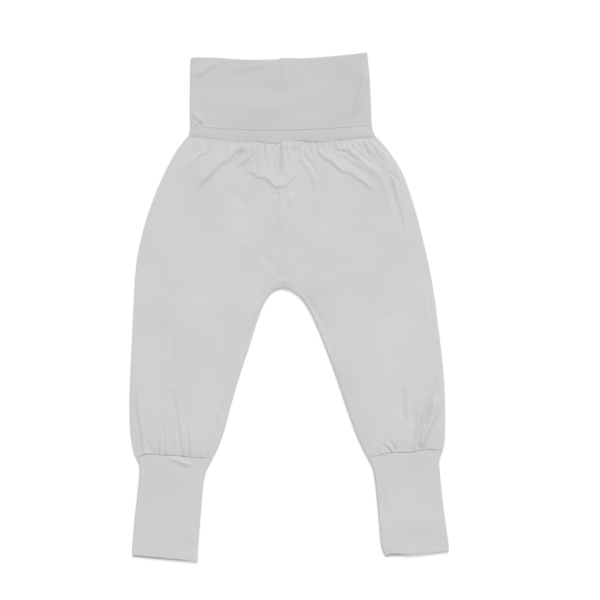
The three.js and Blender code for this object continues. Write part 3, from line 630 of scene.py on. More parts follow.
@dataclass(frozen=True)
class Puckers:
    """Many small gathers that start at a seam and die away from it.

    Attributes:
        seed: Seed of their draws.
        count: How many there are.
        start_x: Where the first one starts, across the pants.
        end_x: Where the last one starts.
        seam_y: Where the seam is, along the pants.
        sign: 1 where they run towards the waist from it, -1 where towards the cuffs.
        length: Their shortest and longest.
        height: Their lowest and highest.
        width: Their narrowest and widest half-width.
        fan: How much they lean outwards with the distance from the middle.
    """

    seed: int
    count: int
    start_x: float
    end_x: float
    seam_y: float
    sign: float
    length: tuple[float, float] = (5.0, 14.0)
    height: tuple[float, float] = (0.2, 0.5)
    width: tuple[float, float] = (0.8, 1.5)
    fan: float = 0.006

    def creases(self) -> tuple[Crease, ...]:
        """Return the gathers as creases, uneven in place, length and depth."""
        rng = np.random.default_rng(self.seed)
        middle = (self.start_x + self.end_x) / 2
        made = []
        for i in range(self.count):
            x = mix(self.start_x, self.end_x, (i + rng.uniform(0.15, 0.85)) / self.count)
            length = rng.uniform(*self.length)
            lean = self.fan * (x - middle) * length + rng.uniform(-0.6, 0.6)
            height = rng.uniform(*self.height) * (1 if i % 2 else -1)
            width = rng.uniform(*self.width)
            far = (x + lean, self.seam_y + self.sign * length)
            half_way = (x + lean * 0.35, self.seam_y + self.sign * length * 0.5)
            made.append(Crease(((x, self.seam_y), half_way, far), height, width, width, 0.02, 0.8))
        return tuple(made)


@dataclass(frozen=True)
class SeamLine:
    """How far a seam or edge strays along the pants from its section's smooth line."""

    spots: tuple[Point, ...]

    def at(self, x: Array) -> Array:
        """Return the offset at each position across the pants."""
        places, offsets = np.array(self.spots, dtype=float).T
        soft = [np.interp(x + shift, places, offsets) for shift in (-2.0, -1.0, 0.0, 1.0, 2.0)]
        return sum(soft) / len(soft)


WAIST_SEAM = SeamLine(((-100, -0.4), (-89, -0.6), (-72, -2.2), (-51, -2.2), (-41, -1.8), (-35, -0.6),
                       (-24, -2.0), (-13, -3.3), (-9, -2.6), (-5, -0.1), (16, -0.3), (22, -1.6),
                       (39, -2.2), (59, -2.2), (65, -1.7), (84, -1.0)))
BAND_SEAM = SeamLine(((-98, 0), (-68, -0.5), (-41, -0.6), (0, -0.8), (28, -0.7), (56, -0.3), (82, 0)))
BAND_TOP = SeamLine(((-98, -1.6), (-95, 0.2), (-75, 0.8), (-54, 0), (-27, -1.7), (-15, -1.9), (-8, 0.9),
                     (3, 0.6), (8.5, -0.3), (28, -1.2), (55, -1.1), (74, -0.2), (78, 0)))
RIGHT_CUFF_SEAM = SeamLine(((-152, -1.6), (-149.6, 0.4), (-145, 2.2), (-132, 1.2), (-124, 0.1),
                            (-112, 0.3), (-101, -0.8), (-84, 0.6), (-77, -0.2)))
LEFT_CUFF_SEAM = SeamLine(((79, -0.3), (86, -1.0), (93.6, 0.2), (102, 0.4), (122.7, -1.4), (129, 0.1),
                           (136.5, 1.0), (153.4, 0.4)))
PLAIN_LINE = SeamLine(((-200, 0), (200, 0)))

# How far a hem's front layer is drawn up off the back one, by the share of the width passed
RIGHT_CUFF_PEEK = ((0.0, 0.0), (0.02, 1.2), (0.08, 2.0), (0.5, 1.8), (0.8, 1.2), (0.97, 0.3), (1.0, 0.0))
LEFT_CUFF_PEEK = ((0.0, 0.0), (0.02, 1.8), (0.07, 3.0), (0.2, 2.0), (0.38, 0.5), (0.98, 0.2), (1.0, 0.0))
NO_PEEK = ((0.0, 0.0), (1.0, 0.0))

# How deep the gathered cloth dips under the casing, and where it stands up beside it
WAIST_DIP = SeamLine(((-101, -0.3), (-88, -0.3), (-78, 0.1), (-68, 0.25), (-56, 0.1), (-38, 0.3),
                      (-33, 0.8), (-9, 0.8), (-5, 0.0), (4, -0.1), (9, -0.5), (22, -0.5), (26, 0.4),
                      (54, 0.5), (60, 0.1), (66, -0.35), (90, -0.35)))

WAIST_GATHERS = Puckers(21, 62, -98.0, 84.0, 165.5, -1.0, length=(6.0, 26.0), height=(0.3, 0.95),
                        width=(0.8, 1.7))
WAIST_BACK_GATHERS = Puckers(22, 34, -98.0, 84.0, 166.0, -1.0, height=(0.3, 0.6))
RIGHT_END_GATHERS = Puckers(23, 24, -150.0, -79.0, -149.6, 1.0, length=(5.0, 18.0), height=(0.2, 0.5))
LEFT_END_GATHERS = Puckers(24, 24, 81.0, 151.0, -145.6, 1.0, length=(5.0, 18.0), height=(0.25, 0.7))
CASING_GATHERS = Puckers(25, 40, -96.0, 82.0, 175.0, -1.0, length=(3.0, 7.0), height=(0.05, 0.16),
                         width=(0.8, 1.6))
CASING_BACK_GATHERS = Puckers(26, 34, -96.0, 82.0, 175.0, -1.0, length=(3.0, 8.0), height=(0.1, 0.35),
                              width=(0.9, 1.9))

# Angles of the cloth's half turn round a side
HALF_TURN = np.linspace(0, math.pi, 10)[None, 1:-1]

# Spots a metre in the jersey's noises, from clouds of tone down to fibres
CLOUDS = 13.0
PATCHES = 30.0
STREAKS = 95.0
FIBRES = 2600.0

# How many times as long as it is high a streak is, and the darkest and palest share of the tone
STREAK_STRETCH = 9.0
TONE_RANGE = (0.955, 1.085)


def add_object(name: str, data: bpy.types.ID) -> bpy.types.Object:
    """Add an object to the scene.

    Args:
        name: Its name.
        data: Its mesh, light or camera.

    Returns:
        The object.
    """
    item = bpy.data.objects.new(name, data)
    bpy.context.scene.collection.objects.link(item)
    return item


class NodeBench:
    """A material's nodes, added and joined by short calls."""

    def __init__(self, name: str) -> None:
        """Start an empty material.

        Args:
            name: Name of the material.
        """
        self.material = bpy.data.materials.new(name)
        self.material.use_nodes = True
        self.tree = self.material.node_tree
        self.tree.nodes.clear()

    def add(
        self, kind: str, inputs: dict[str, object] | None = None, **settings: object
    ) -> bpy.types.Node:
        """Add a node.

        Args:
            kind: The node's type name.
            inputs: Values or sockets for its inputs, by name.
            settings: Its properties.

        Returns:
            The node.
        """
        node = self.tree.nodes.new(kind)
        for key, value in settings.items():
            setattr(node, key, value)
        for key, value in (inputs or {}).items():
            self.feed(node.inputs[key], value)
        return node

    def feed(self, socket: bpy.types.NodeSocket, value: object) -> None:
        """Join a socket to an output, or set its value."""
        if isinstance(value, bpy.types.NodeSocket):
            self.tree.links.new(value, socket)
        else:
            socket.default_value = value

    def math(self, operation: str, *values: object) -> bpy.types.NodeSocket:
        """Add a Math node and return its output."""
        node = self.add("ShaderNodeMath", operation=operation)
        for socket, value in zip(node.inputs, values):
            self.feed(socket, value)
        return node.outputs[0]

    def bump(
        self, height: bpy.types.NodeSocket, depth: float, under: bpy.types.NodeSocket | None = None
    ) -> bpy.types.NodeSocket:
        """Add relief in the shading.

        Args:
            height: The relief, from 0 to 1.
            depth: Its full height, in metres.
            under: The shading normal that it lies on, if any.

        Returns:
            The new shading normal.
        """
        node = self.add("ShaderNodeBump", {"Height": height, "Distance": depth, "Strength": 1.0})
        if under is not None:
            self.feed(node.inputs["Normal"], under)
        return node.outputs["Normal"]

    def noise(self, vector: bpy.types.NodeSocket, scale: float, detail: float) -> bpy.types.NodeSocket:
        """Add a noise of so many spots a metre and return its value."""
        inputs = {"Vector": vector, "Scale": scale, "Detail": detail, "Roughness": 0.55}
        return self.add("ShaderNodeTexNoise", inputs).outputs["Fac"]

    def surface(self, inputs: dict[str, object]) -> bpy.types.Material:
        """Add the shader and finish the material.

        Args:
            inputs: Values or sockets for the shader's inputs, by name.

        Returns:
            The material.
        """
        shader = self.add("ShaderNodeBsdfPrincipled", inputs)
        self.add("ShaderNodeOutputMaterial", {"Surface": shader.outputs["BSDF"]})
        return self.material


@dataclass(frozen=True)
class Jersey:
    """A fine single jersey knit: its stitches, streaks, sheen and slight unevenness of tone, with a painted
    highlight on the streaks' crests.

    Attributes:
        name: Name of the material.
        color: Its middle tone.
        wale: Width of a column of stitches, in millimetres.
        course: Height of a row of stitches.
        knit_depth: How deep the stitches are.
        streak_depth: How deep the fine cross streaks are.
        fuzz_depth: How deep the fuzz of its fibres is.
        sheen: Strength of the soft sheen of its fibres.
        streak_highlight: Strength of the short pale streaks, a painted highlight on the crests of the fine
            cross streaks.
    """

    name: str
    color: tuple[float, float, float]
    wale: float = 0.8
    course: float = 0.6
    knit_depth: float = 0.05
    streak_depth: float = 0.12
    fuzz_depth: float = 0.03
    sheen: float = 0.2
    streak_highlight: float = 0.7

    def stitches(self, bench: NodeBench) -> bpy.types.NodeSocket:
        """Work out the height of the knit's small V-shaped stitches."""
        uv = bench.add("ShaderNodeUVMap", uv_map="Knit").outputs["UV"]
        split = bench.add("ShaderNodeSeparateXYZ", {"Vector": uv})
        across = bench.math("MULTIPLY", split.outputs["X"], 1 / (self.wale * MM))
        along = bench.math("MULTIPLY", split.outputs["Y"], 1 / (self.course * MM))
        from_middle = bench.math("ABSOLUTE", bench.math("SUBTRACT", bench.math("FRACT", across), 0.5))
        slant = bench.math("MULTIPLY_ADD", from_middle, 1.3, along)
        loop = bench.math("SINE", bench.math("MULTIPLY", slant, 2 * math.pi))
        turn = bench.math("MULTIPLY", bench.math("SUBTRACT", across, 0.5), 2 * math.pi)
        both = bench.math("MULTIPLY_ADD", bench.math("COSINE", turn), 0.6, loop)
        return bench.math("MULTIPLY_ADD", both, 0.3, 0.5)

    def tone(
        self, bench: NodeBench, place: bpy.types.NodeSocket, streaks: bpy.types.NodeSocket,
        fibres: bpy.types.NodeSocket,
    ) -> bpy.types.NodeSocket:
        """Work out how pale the cloth is from spot to spot, with a painted highlight where the cross
        streaks rise.

        Args:
            bench: The material's nodes.
            place: Positions on the piece.
            streaks: Noise of the cross streaks.
            fibres: Noise of the fibres.

        Returns:
            The tone, from 0 to 1.
        """
        patches = bench.noise(place, PATCHES, detail=2.0)
        cloudy = bench.noise(place, CLOUDS, detail=2.0)
        # Short pale dashes in patches: painted highlight on the crests of the cross streaks
        painted_highlight = bench.math("MAXIMUM", bench.math("MULTIPLY_ADD", streaks, 7.0, -3.9), 0.0)
        painted_highlight = bench.math("MULTIPLY", painted_highlight, bench.math("MULTIPLY_ADD", patches, 3.0, -1.0))
        painted_highlight = bench.math("MINIMUM", bench.math("MAXIMUM", painted_highlight, 0.0), 1.0)
        tone = bench.math("MULTIPLY_ADD", cloudy, 1.5, -0.7)
        tone = bench.math("MULTIPLY_ADD", patches, 0.7, tone)
        tone = bench.math("MULTIPLY_ADD", fibres, 0.25, tone)
        tone = bench.math("MULTIPLY_ADD", painted_highlight, self.streak_highlight, tone)
        return bench.math("MULTIPLY", tone, 0.6)

    def make(self) -> bpy.types.Material:
        """Build the material.

        Returns:
            The material, with its knit on the piece's own UV map in metres.
        """
        bench = NodeBench(self.name)
        place = bench.add("ShaderNodeTexCoord").outputs["Object"]
        scale = (1.0, STREAK_STRETCH, 1.0)
        stretched = bench.add("ShaderNodeMapping", {"Vector": place, "Scale": scale}).outputs["Vector"]
        streaks = bench.noise(stretched, STREAKS, detail=3.0)
        fibres = bench.noise(place, FIBRES, detail=2.0)
        ramp = bench.add("ShaderNodeValToRGB", {"Fac": self.tone(bench, place, streaks, fibres)})
        for stop, share in zip(ramp.color_ramp.elements, TONE_RANGE):
            stop.color = (*(channel * share for channel in self.color), 1.0)
        normal = bench.bump(streaks, self.streak_depth * MM)
        normal = bench.bump(self.stitches(bench), self.knit_depth * MM, normal)
        normal = bench.bump(fibres, self.fuzz_depth * MM, normal)
        return bench.surface({
            "Base Color": ramp.outputs["Color"], "Roughness": 0.85, "Specular IOR Level": 0.25,
            "Sheen Weight": self.sheen, "Sheen Roughness": 0.4, "Normal": normal,
        })


@dataclass(frozen=True)
class Paper:
    """The plain white paper that the pants lie on.

    Attributes:
        name: Name of the material.
        color: Its tone.
        tooth: How deep its fine grain is, in millimetres.
        grains: Spots a metre in the grain.
    """

    name: str = "white paper"
    color: tuple[float, float, float] = (0.94, 0.94, 0.94)
    tooth: float = 0.02
    grains: float = 900.0

    def make(self) -> bpy.types.Material:
        """Build the material."""
        bench = NodeBench(self.name)
        place = bench.add("ShaderNodeTexCoord").outputs["Object"]
        normal = bench.bump(bench.noise(place, self.grains, detail=2.0), self.tooth * MM)
        return bench.surface({
            "Base Color": (*self.color, 1.0), "Roughness": 0.9, "Specular IOR Level": 0.2,
            "Normal": normal,
        })


@dataclass
class Cloth:
    """A grid of cloth points, ready to become a piece.

    Attributes:
        name: Name of the piece.
        points: Rows by columns of points, in millimetres.
        knit: Rows by columns of distances across and along the cloth.
        shell: Thickness to give it, or 0 where the points already close a wall.
    """

    name: str
    points: Array
    knit: Array
    shell: float = 0.0

    def make(self, finish: bpy.types.Material) -> bpy.types.Object:
        """Make the piece.

        Args:
            finish: The material.

        Returns:
            The piece, in metres, with faces outwards.
        """
        mesh = self.lay_grid()
        self.close(mesh)
        mesh.polygons.foreach_set("use_smooth", np.ones(len(mesh.polygons), dtype=bool))
        mesh.materials.append(finish)
        mesh.update()
        piece = add_object(self.name, mesh)
        if self.shell:
            wall = piece.modifiers.new("Cloth thickness", "SOLIDIFY")
            wall.thickness = self.shell * MM
            wall.offset = -1.0
            wall.use_rim = True
        return piece

    def lay_grid(self) -> bpy.types.Mesh:
        """Lay a grid on the points.

        Returns:
            The grid's mesh, with the knit as its UV map.
        """
        rows, columns = self.points.shape[:2]
        grid = bmesh.new()
        bmesh.ops.create_grid(grid, x_segments=columns - 1, y_segments=rows - 1, size=1.0)
        mesh = bpy.data.meshes.new(self.name)
        grid.to_mesh(mesh)
        grid.free()
        flat = np.empty(len(mesh.vertices) * 3)
        mesh.vertices.foreach_get("co", flat)
        flat = flat.reshape(-1, 3)
        row = np.rint((flat[:, 1] + 1) / 2 * (rows - 1)).astype(int)
        place = np.rint((flat[:, 0] + 1) / 2 * (columns - 1)).astype(int)
        points = (self.points - np.array([MIDDLE_X, MIDDLE_Y, 0.0])) * MM
        mesh.vertices.foreach_set("co", points[row, place].ravel())
        corner = np.empty(len(mesh.loops), dtype=np.int32)
        mesh.loops.foreach_get("vertex_index", corner)
        knit = self.knit[row[corner], place[corner]] * MM
        mesh.uv_layers.new(name="Knit").data.foreach_set("uv", knit.ravel())
        return mesh

    def close(self, mesh: bpy.types.Mesh) -> None:
        """Join the grid's meeting ends and turn its faces outwards."""
        shape = bmesh.new()
        shape.from_mesh(mesh)
        bmesh.ops.remove_doubles(shape, verts=shape.verts, dist=1e-6)
        bmesh.ops.recalc_face_normals(shape, faces=shape.faces)
        top = max(shape.faces, key=lambda face: face.calc_center_median().z)
        if top.normal.z < 0:
            bmesh.ops.reverse_faces(shape, faces=shape.faces)
        shape.to_mesh(mesh)
        shape.free()


class Track:
    """Where along a table of sections a distance from its first row lies."""

    def __init__(self, x: tuple[Array, Array], y: tuple[Array, Array]) -> None:
        """Measure the sections' middle line.

        Args:
            x: The columns of the two ends' places across the pants.
            y: The columns of their places along them.
        """
        self.places = np.linspace(0, len(x[0]) - 1, 600)
        middle_x = (spline(x[0], self.places) + spline(x[1], self.places)) / 2
        middle_y = (spline(y[0], self.places) + spline(y[1], self.places)) / 2
        steps = np.hypot(np.diff(middle_x), np.diff(middle_y))
        self.run = np.concatenate([[0.0], np.cumsum(steps)])
        self.length = float(self.run[-1])

    def place(self, distance: Array) -> Array:
        """Return the row number at each distance."""
        return np.interp(distance, self.run, self.places)


def soft_floor(raised: Array, softness: float = 0.35) -> Array:
    """Hold heights at 0 or more, with a soft turn instead of a kink."""
    return (raised + np.sqrt(raised * raised + softness * softness)) / 2


def tucked(distance: Array, depth: float, width: float) -> Array:
    """Return how deep cloth dips beside a seam, as a quarter round."""
    rest = 1.0 - np.clip(distance / width, 0.0, 1.0)
    return depth * (1.0 - np.sqrt(1.0 - rest * rest))


def front_share(height: Array, roll: float) -> Array:
    """Return 1 for points of the front, 0 for the back, and a share between at a roll's height."""
    return np.clip((height - roll) / roll, 0.0, 1.0)


def knit_map(across: Array, height: Array, along: Array) -> Array:
    """Measure the cloth's own distances, for its knit.

    Args:
        across: Distances across the sections, rows by columns.
        height: Heights there.
        along: Distances along the cloth, a column or rows by columns.

    Returns:
        Distances round and along the cloth, for each row and column.
    """
    around = np.cumsum(np.hypot(np.diff(across, axis=1), np.diff(height, axis=1)), axis=1)
    around = np.hstack([np.zeros((len(around), 1)), around])
    return np.stack([around, np.broadcast_to(along, around.shape)], axis=2)


@dataclass
class Leg:
    """A leg cut in one piece, from the centre-front seam round the side to the centre back.

    Attributes:
        side: Which leg it is.
        sections: Its table, from the waist to the cuff.
        front_creases: Creases of its front.
        back_creases: Creases of its back.
        cuff_seam: The line of its seam with the cuff.
        flat: Its cut's width and length, in metres; not used.
        area: Its cut's area, in square metres; not used.
        thickness: Thickness of the jersey.
        seam_groove: Depth of the centre-front seam.
        seam_ridge: Height of the centre-back seam.
        calm_edge: How far from a side the creases come up.
        typical_width: Width that the columns of the front are spaced for.
        back_columns: Columns of the back.
        swell: Its slow swells.
        ripple: Its fine ones.
    """

    side: Side
    sections: tuple[LegSection, ...]
    front_creases: tuple[Crease, ...]
    back_creases: tuple[Crease, ...]
    cuff_seam: SeamLine
    flat: tuple[float, float]
    area: float
    thickness: float = 0.5
    seam_groove: float = 0.07
    seam_ridge: float = 0.7
    calm_edge: float = 5.0
    typical_width: float = 120.0
    back_columns: int = 25
    swell: Undulation = Undulation(seed=5, height=0.55, shortest=34.0, longest=95.0)
    ripple: Undulation = Undulation(seed=11, height=0.06, shortest=9.0, longest=24.0)

    def across(self, table: dict[str, Array], distance: Array) -> tuple[Array, Array]:
        """Find points on the sections.

        Args:
            table: The sections' columns.
            distance: Distances from the inner ends.

        Returns:
            Positions across and along the pants.
        """
        share = distance / table["width"]
        x = mix(table["inner_x"], table["outer_x"], share)
        y = mix(table["inner_y"], table["outer_y"], share) + 4 * table["bow"] * share * (1 - share)
        return x, y

    def read(self, places: Array) -> dict[str, Array]:
        """Read the table at row numbers, as columns of one value a row."""
        names = ("inner_x", "inner_y", "outer_x", "outer_y", "loft", "bow")
        corners = {"inner_x": CROTCH_ROW, "inner_y": CROTCH_ROW}
        table = {
            name: spline(column(self.sections, name), places, corners.get(name))[:, None] for name in names
        }
        part = CENTRE_HALF_GAP if self.side is Side.LEFT else -CENTRE_HALF_GAP
        table["inner_x"] = table["inner_x"] + np.where(places <= CROTCH_ROW, part, 0.0)[:, None]
        table["width"] = np.hypot(table["outer_x"] - table["inner_x"], table["outer_y"] - table["inner_y"])
        table["closed"] = smooth((places - CROTCH_ROW) * 2 + 0.4)[:, None]
        return table

    def from_inseam(self, table: dict[str, Array], distance: Array) -> Array:
        """Measure how far points lie from the inseam's edge.

        Args:
            table: The sections' columns.
            distance: Distances from the inner ends.

        Returns:
            A distance for each point.
        """
        x, y = self.across(table, distance)
        places = np.arange(CROTCH_ROW, len(self.sections) - 0.99, 0.25)
        ends = [column(self.sections, name) for name in ("inner_x", "inner_y")]
        inseam = [spline(values, places, CROTCH_ROW) for values in ends]
        return beside(np.stack(inseam, axis=1), x, y)[0]

    def top(self, table: dict[str, Array], distance: Array, run: Array, left: Array) -> Array:
        """Work out the front layer's height.

        Args:
            table: The sections' columns.
            distance: Distances from the inner ends.
            run: Distances from the waist, a column.
            left: Distances from the cuff, a column.

        Returns:
            Heights over the surface that the pants lie on.
        """
        x, y = self.across(table, distance)
        from_outer = table["width"] - distance
        from_inseam = self.from_inseam(table, distance)
        calm = smooth(from_inseam / self.calm_edge) * smooth(from_outer / self.calm_edge)
        groove = self.seam_groove * bell(distance, 0.9)
        raised = table["loft"] * loft_share(from_inseam) * loft_share(from_outer)
        raised = raised + relief(self.front_creases, x, y) * calm
        raised = raised + (self.swell.at(x, y) + self.ripple.at(x, y)) * calm
        raised = raised * (1 - 0.2 * fading(run, 12.0)) * (1 - 0.1 * fading(left, 4.0))
        return 2 * LEG_ROLL + soft_floor(raised) - groove * (1 - table["closed"])

    def underside(self, table: dict[str, Array], distance: Array) -> Array:
        """Work out the back layer's height, flat but for its creases and the centre-back seam."""
        x, y = self.across(table, distance)
        from_outer = table["width"] - distance
        from_inseam = self.from_inseam(table, distance)
        calm = smooth(from_inseam / self.calm_edge) * smooth(from_outer / self.calm_edge)
        ridge = self.seam_ridge * bell(distance, 1.1) * (1 - table["closed"])
        return soft_floor(relief(self.back_creases, x, y) * calm - 0.1, softness=0.1) + ridge

    def outline(self, table: dict[str, Array], run: Array, left: Array) -> tuple[Array, Array]:
        """Follow the cloth from the centre front over the side to the centre back.

        Args:
            table: The sections' columns.
            run: Distances from the waist, a column.
            left: Distances from the cuff, a column.

        Returns:
            Distances from the sections' inner ends, and heights, for each row and column.
        """
        rolled = mix(CENTRE_ROLL, 1.0, table["closed"])
        roll, end = rolled * LEG_REACH, table["width"] - LEG_REACH
        columns = spread(self.typical_width, step=1.1, near=0.4, reach=8.0)[None, :]
        share = columns / self.typical_width
        front = mix(roll, end, share)
        back = mix(end, roll, np.linspace(0, 1, self.back_columns)[None, :])
        cuff_dip = tucked(left, depth=0.7, width=0.9)
        waist_dip = tucked(run, depth=1.0, width=1.1) * WAIST_DIP.at(self.across(table, front)[0])
        top = self.top(table, front, run, left) - (cuff_dip + waist_dip)
        back_dip = cuff_dip + tucked(run, depth=0.6, width=1.3)
        under = self.underside(table, back) + back_dip * 0.8
        radius = LEG_REACH - tucked(run, depth=0.35, width=1.2) - tucked(left, depth=0.35, width=1.2)
        fold = end + radius * np.sin(HALF_TURN)
        edge_height = np.where(HALF_TURN < math.pi / 2, top[:, -1:], under[:, :1])
        fold_height = mix(edge_height, LEG_ROLL, 1 - np.abs(np.cos(HALF_TURN)))
        curl = np.linspace(math.pi / 2, 0, 5)[None, :-1]
        curl_across = roll * (1 - np.sin(curl))
        curl_share = rolled * (1 - np.cos(curl))
        curl_top = mix(top[:, :1], LEG_ROLL, curl_share)
        curl_under = mix(under[:, -1:], LEG_ROLL, curl_share)[:, ::-1]
        across = np.hstack([curl_across, front, fold, back, curl_across[:, ::-1]])
        return across, np.hstack([curl_top, top, fold_height, under, curl_under])

    def lay(self) -> Cloth:
        """Lay the leg's cloth out.

        Returns:
            Its grid, a row for each section and columns from centre front to centre back.
        """
        ends = [column(self.sections, name) for name in ("inner_x", "outer_x", "inner_y", "outer_y")]
        track = Track((ends[0], ends[1]), (ends[2], ends[3]))
        run = spread(track.length, step=1.16, near=0.3, reach=7.0)
        table = self.read(track.place(run))
        run = run[:, None]
        left = track.length - run
        across, height = self.outline(table, run, left)
        x, y = self.across(table, across)
        frontness = front_share(height, LEG_ROLL)
        y = y + WAIST_SEAM.at(x) * frontness * fading(run, STRAY_REACH)
        y = y + self.cuff_seam.at(x) * frontness * fading(left, STRAY_REACH)
        y = y + SEAM_MEET * fading(run, MEET_REACH) - SEAM_MEET * fading(left, MEET_REACH)
        points = np.stack([x, y, height], axis=2)
        knit = knit_map(across, height, run)
        return Cloth(f"leg_{self.side.value}_cloth", points, knit, self.thickness)

    def build(self, finish: bpy.types.Material) -> bpy.types.Object:
        """Make the leg and fix it to the frame.

        Args:
            finish: The jersey.

        Returns:
            The piece.
        """
        piece = self.lay().make(finish)
        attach(piece, "root")
        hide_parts(f"leg_{self.side.value}")
        return piece


@dataclass
class Tube:
    """A flattened tube of doubled jersey: the waistband, its casing or a cuff.

    Attributes:
        node: The solid that it dresses.
        sections: Its table, from the top edge to the bottom one.
        creases: Creases of its front.
        back_creases: Creases of its back.
        top_line: The line of its top edge.
        bottom_line: The line of its bottom edge.
        flat: Its width all round and its height, in metres; not used.
        top_edge: How the top edge is finished.
        bottom_edge: How the bottom edge is finished.
        peek: How far the front's hem is drawn up, by the share of the width passed.
        step: Spacing of its rows and columns.
        calm_edge: How far from a side the creases come up.
        back_columns: Columns of the back.
        swell: Its slow swells.
    """

    node: str
    sections: tuple[TubeSection, ...]
    creases: tuple[Crease, ...]
    back_creases: tuple[Crease, ...]
    top_line: SeamLine
    bottom_line: SeamLine
    flat: tuple[float, float]
    top_edge: Edge = Edge.SEWN
    bottom_edge: Edge = Edge.SEWN
    peek: tuple[Point, ...] = NO_PEEK
    step: float = 1.1
    calm_edge: float = 4.0
    back_columns: int = 26
    swell: Undulation = Undulation(seed=7, height=0.3, shortest=22.0, longest=80.0)

    def path(self, length: float) -> tuple[Array, Array]:
        """Follow the wall's outline down the outside and up the inside.

        Args:
            length: The tube's height.

        Returns:
            Distances from the top edge, and depths under the outer face.
        """
        half = DOUBLE_WALL / 2
        start, finish = self.top_edge.turn, self.bottom_edge.turn
        outside = spread(length - start - finish, self.step, near=0.3, reach=6.0) + start
        inside = np.linspace(length - finish, start, max(6, len(outside) // 3))
        turn = np.linspace(0, math.pi, 7)[1:-1]
        bottom = length - finish + finish * np.sin(turn)
        top = start - start * np.sin(turn)
        distance = np.concatenate([outside, bottom, inside, top, outside[:1]])
        depth = np.concatenate([
            np.zeros(len(outside)), half * (1 - np.cos(turn)), np.full(len(inside), DOUBLE_WALL),
            half * (1 + np.cos(turn)), [0.0],
        ])
        return distance, depth

    def read(self, places: Array) -> dict[str, Array]:
        """Read the table at row numbers, as columns of one value a row."""
        names = ("left_x", "left_y", "right_x", "right_y", "loft", "bow")
        table = {name: spline(column(self.sections, name), places)[:, None] for name in names}
        table["width"] = np.hypot(table["right_x"] - table["left_x"], table["right_y"] - table["left_y"])
        return table

    def calm(self, table: dict[str, Array], distance: Array) -> Array:
        """Return how freely creases may rise, from 0 at a side to 1 further in."""
        from_left = distance - DOUBLE_REACH
        from_right = table["width"] - DOUBLE_REACH - distance
        return smooth(from_left / self.calm_edge) * smooth(from_right / self.calm_edge)

    def top(self, table: dict[str, Array], distance: Array, x: Array, y: Array) -> Array:
        """Work out the front's height.

        Args:
            table: The sections' columns.
            distance: Distances from the left ends.
            x: The same points' positions across the pants.
            y: Their positions along them.

        Returns:
            Heights over the surface that the pants lie on.
        """
        from_left = distance - DOUBLE_REACH
        from_right = table["width"] - DOUBLE_REACH - distance
        raised = table["loft"] * (loft_share(from_left) * loft_share(from_right))
        detail = (relief(self.creases, x, y) + self.swell.at(x, y)) * self.calm(table, distance)
        return 2 * DOUBLE_ROLL + soft_floor(raised + detail, softness=0.2) - 0.05

    def underside(self, table: dict[str, Array], distance: Array, x: Array, y: Array) -> Array:
        """Work out the back's height, with the arguments of the front's."""
        raised = relief(self.back_creases, x, y) * self.calm(table, distance)
        return soft_floor(raised - 0.08, softness=0.08)

    def lay(self) -> Cloth:
        """Lay the tube's cloth out.

        Returns:
            Its grid: rows follow the wall's outline, and columns go round the tube.
        """
        ends = [column(self.sections, name) for name in ("left_x", "right_x", "left_y", "right_y")]
        track = Track((ends[0], ends[1]), (ends[2], ends[3]))
        distance, depth = self.path(track.length)
        table = self.read(track.place(distance))
        run, depth = distance[:, None], depth[:, None]
        left = track.length - run
        start, end = DOUBLE_REACH, table["width"] - DOUBLE_REACH
        middle_width = float(table["width"].mean())
        share = spread(middle_width, self.step, near=0.5, reach=10.0)[None, :] / middle_width
        front = mix(start, end, share)
        back = mix(end, start, np.linspace(0, 1, self.back_columns)[None, :])
        out = DOUBLE_REACH * (1 - depth / DOUBLE_ROLL) * np.sin(HALF_TURN)
        across = np.hstack([front, end + out, back, start - out, front[:, :1]])
        place = across / table["width"]
        x = mix(table["left_x"], table["right_x"], place)
        y = mix(table["left_y"], table["right_y"], place) + 4 * table["bow"] * place * (1 - place)
        fronts = slice(0, front.shape[1])
        first_back = front.shape[1] + HALF_TURN.shape[1]
        backs = slice(first_back, first_back + self.back_columns)
        top = self.top(table, front, x[:, fronts], y[:, fronts]) - depth
        under = depth + self.underside(table, back, x[:, backs], y[:, backs])
        down = (1 - np.cos(HALF_TURN)) / 2
        height = np.hstack([
            top, mix(top[:, -1:], under[:, :1], down), under, mix(under[:, -1:], top[:, :1], down),
            top[:, :1],
        ])
        frontness = front_share(height, DOUBLE_ROLL)
        fade = min(22.0, 0.9 * track.length)
        y = y + self.top_line.at(x) * frontness * fading(run, fade)
        y = y + self.bottom_line.at(x) * frontness * fading(left, fade)
        peek_at, peek_by = np.array(self.peek).T
        drawn = np.interp(place, peek_at, peek_by) * fading(left, 14.0)
        y = y + drawn * np.clip(frontness * 2, 0.0, 1.0)
        y = y + self.top_edge.meet * fading(run, MEET_REACH)
        y = y - self.bottom_edge.meet * fading(left, MEET_REACH)
        points = np.stack([x, y, height], axis=2)
        return Cloth(f"{self.node}_cloth", points, knit_map(across, height, run + depth))

    def build(self, finish: bpy.types.Material) -> bpy.types.Object:
        """Make the tube and fix it to the frame.

        Args:
            finish: The jersey.

        Returns:
            The piece.
        """
        piece = self.lay().make(finish)
        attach(piece, "root")
        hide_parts(self.node)
        return piece


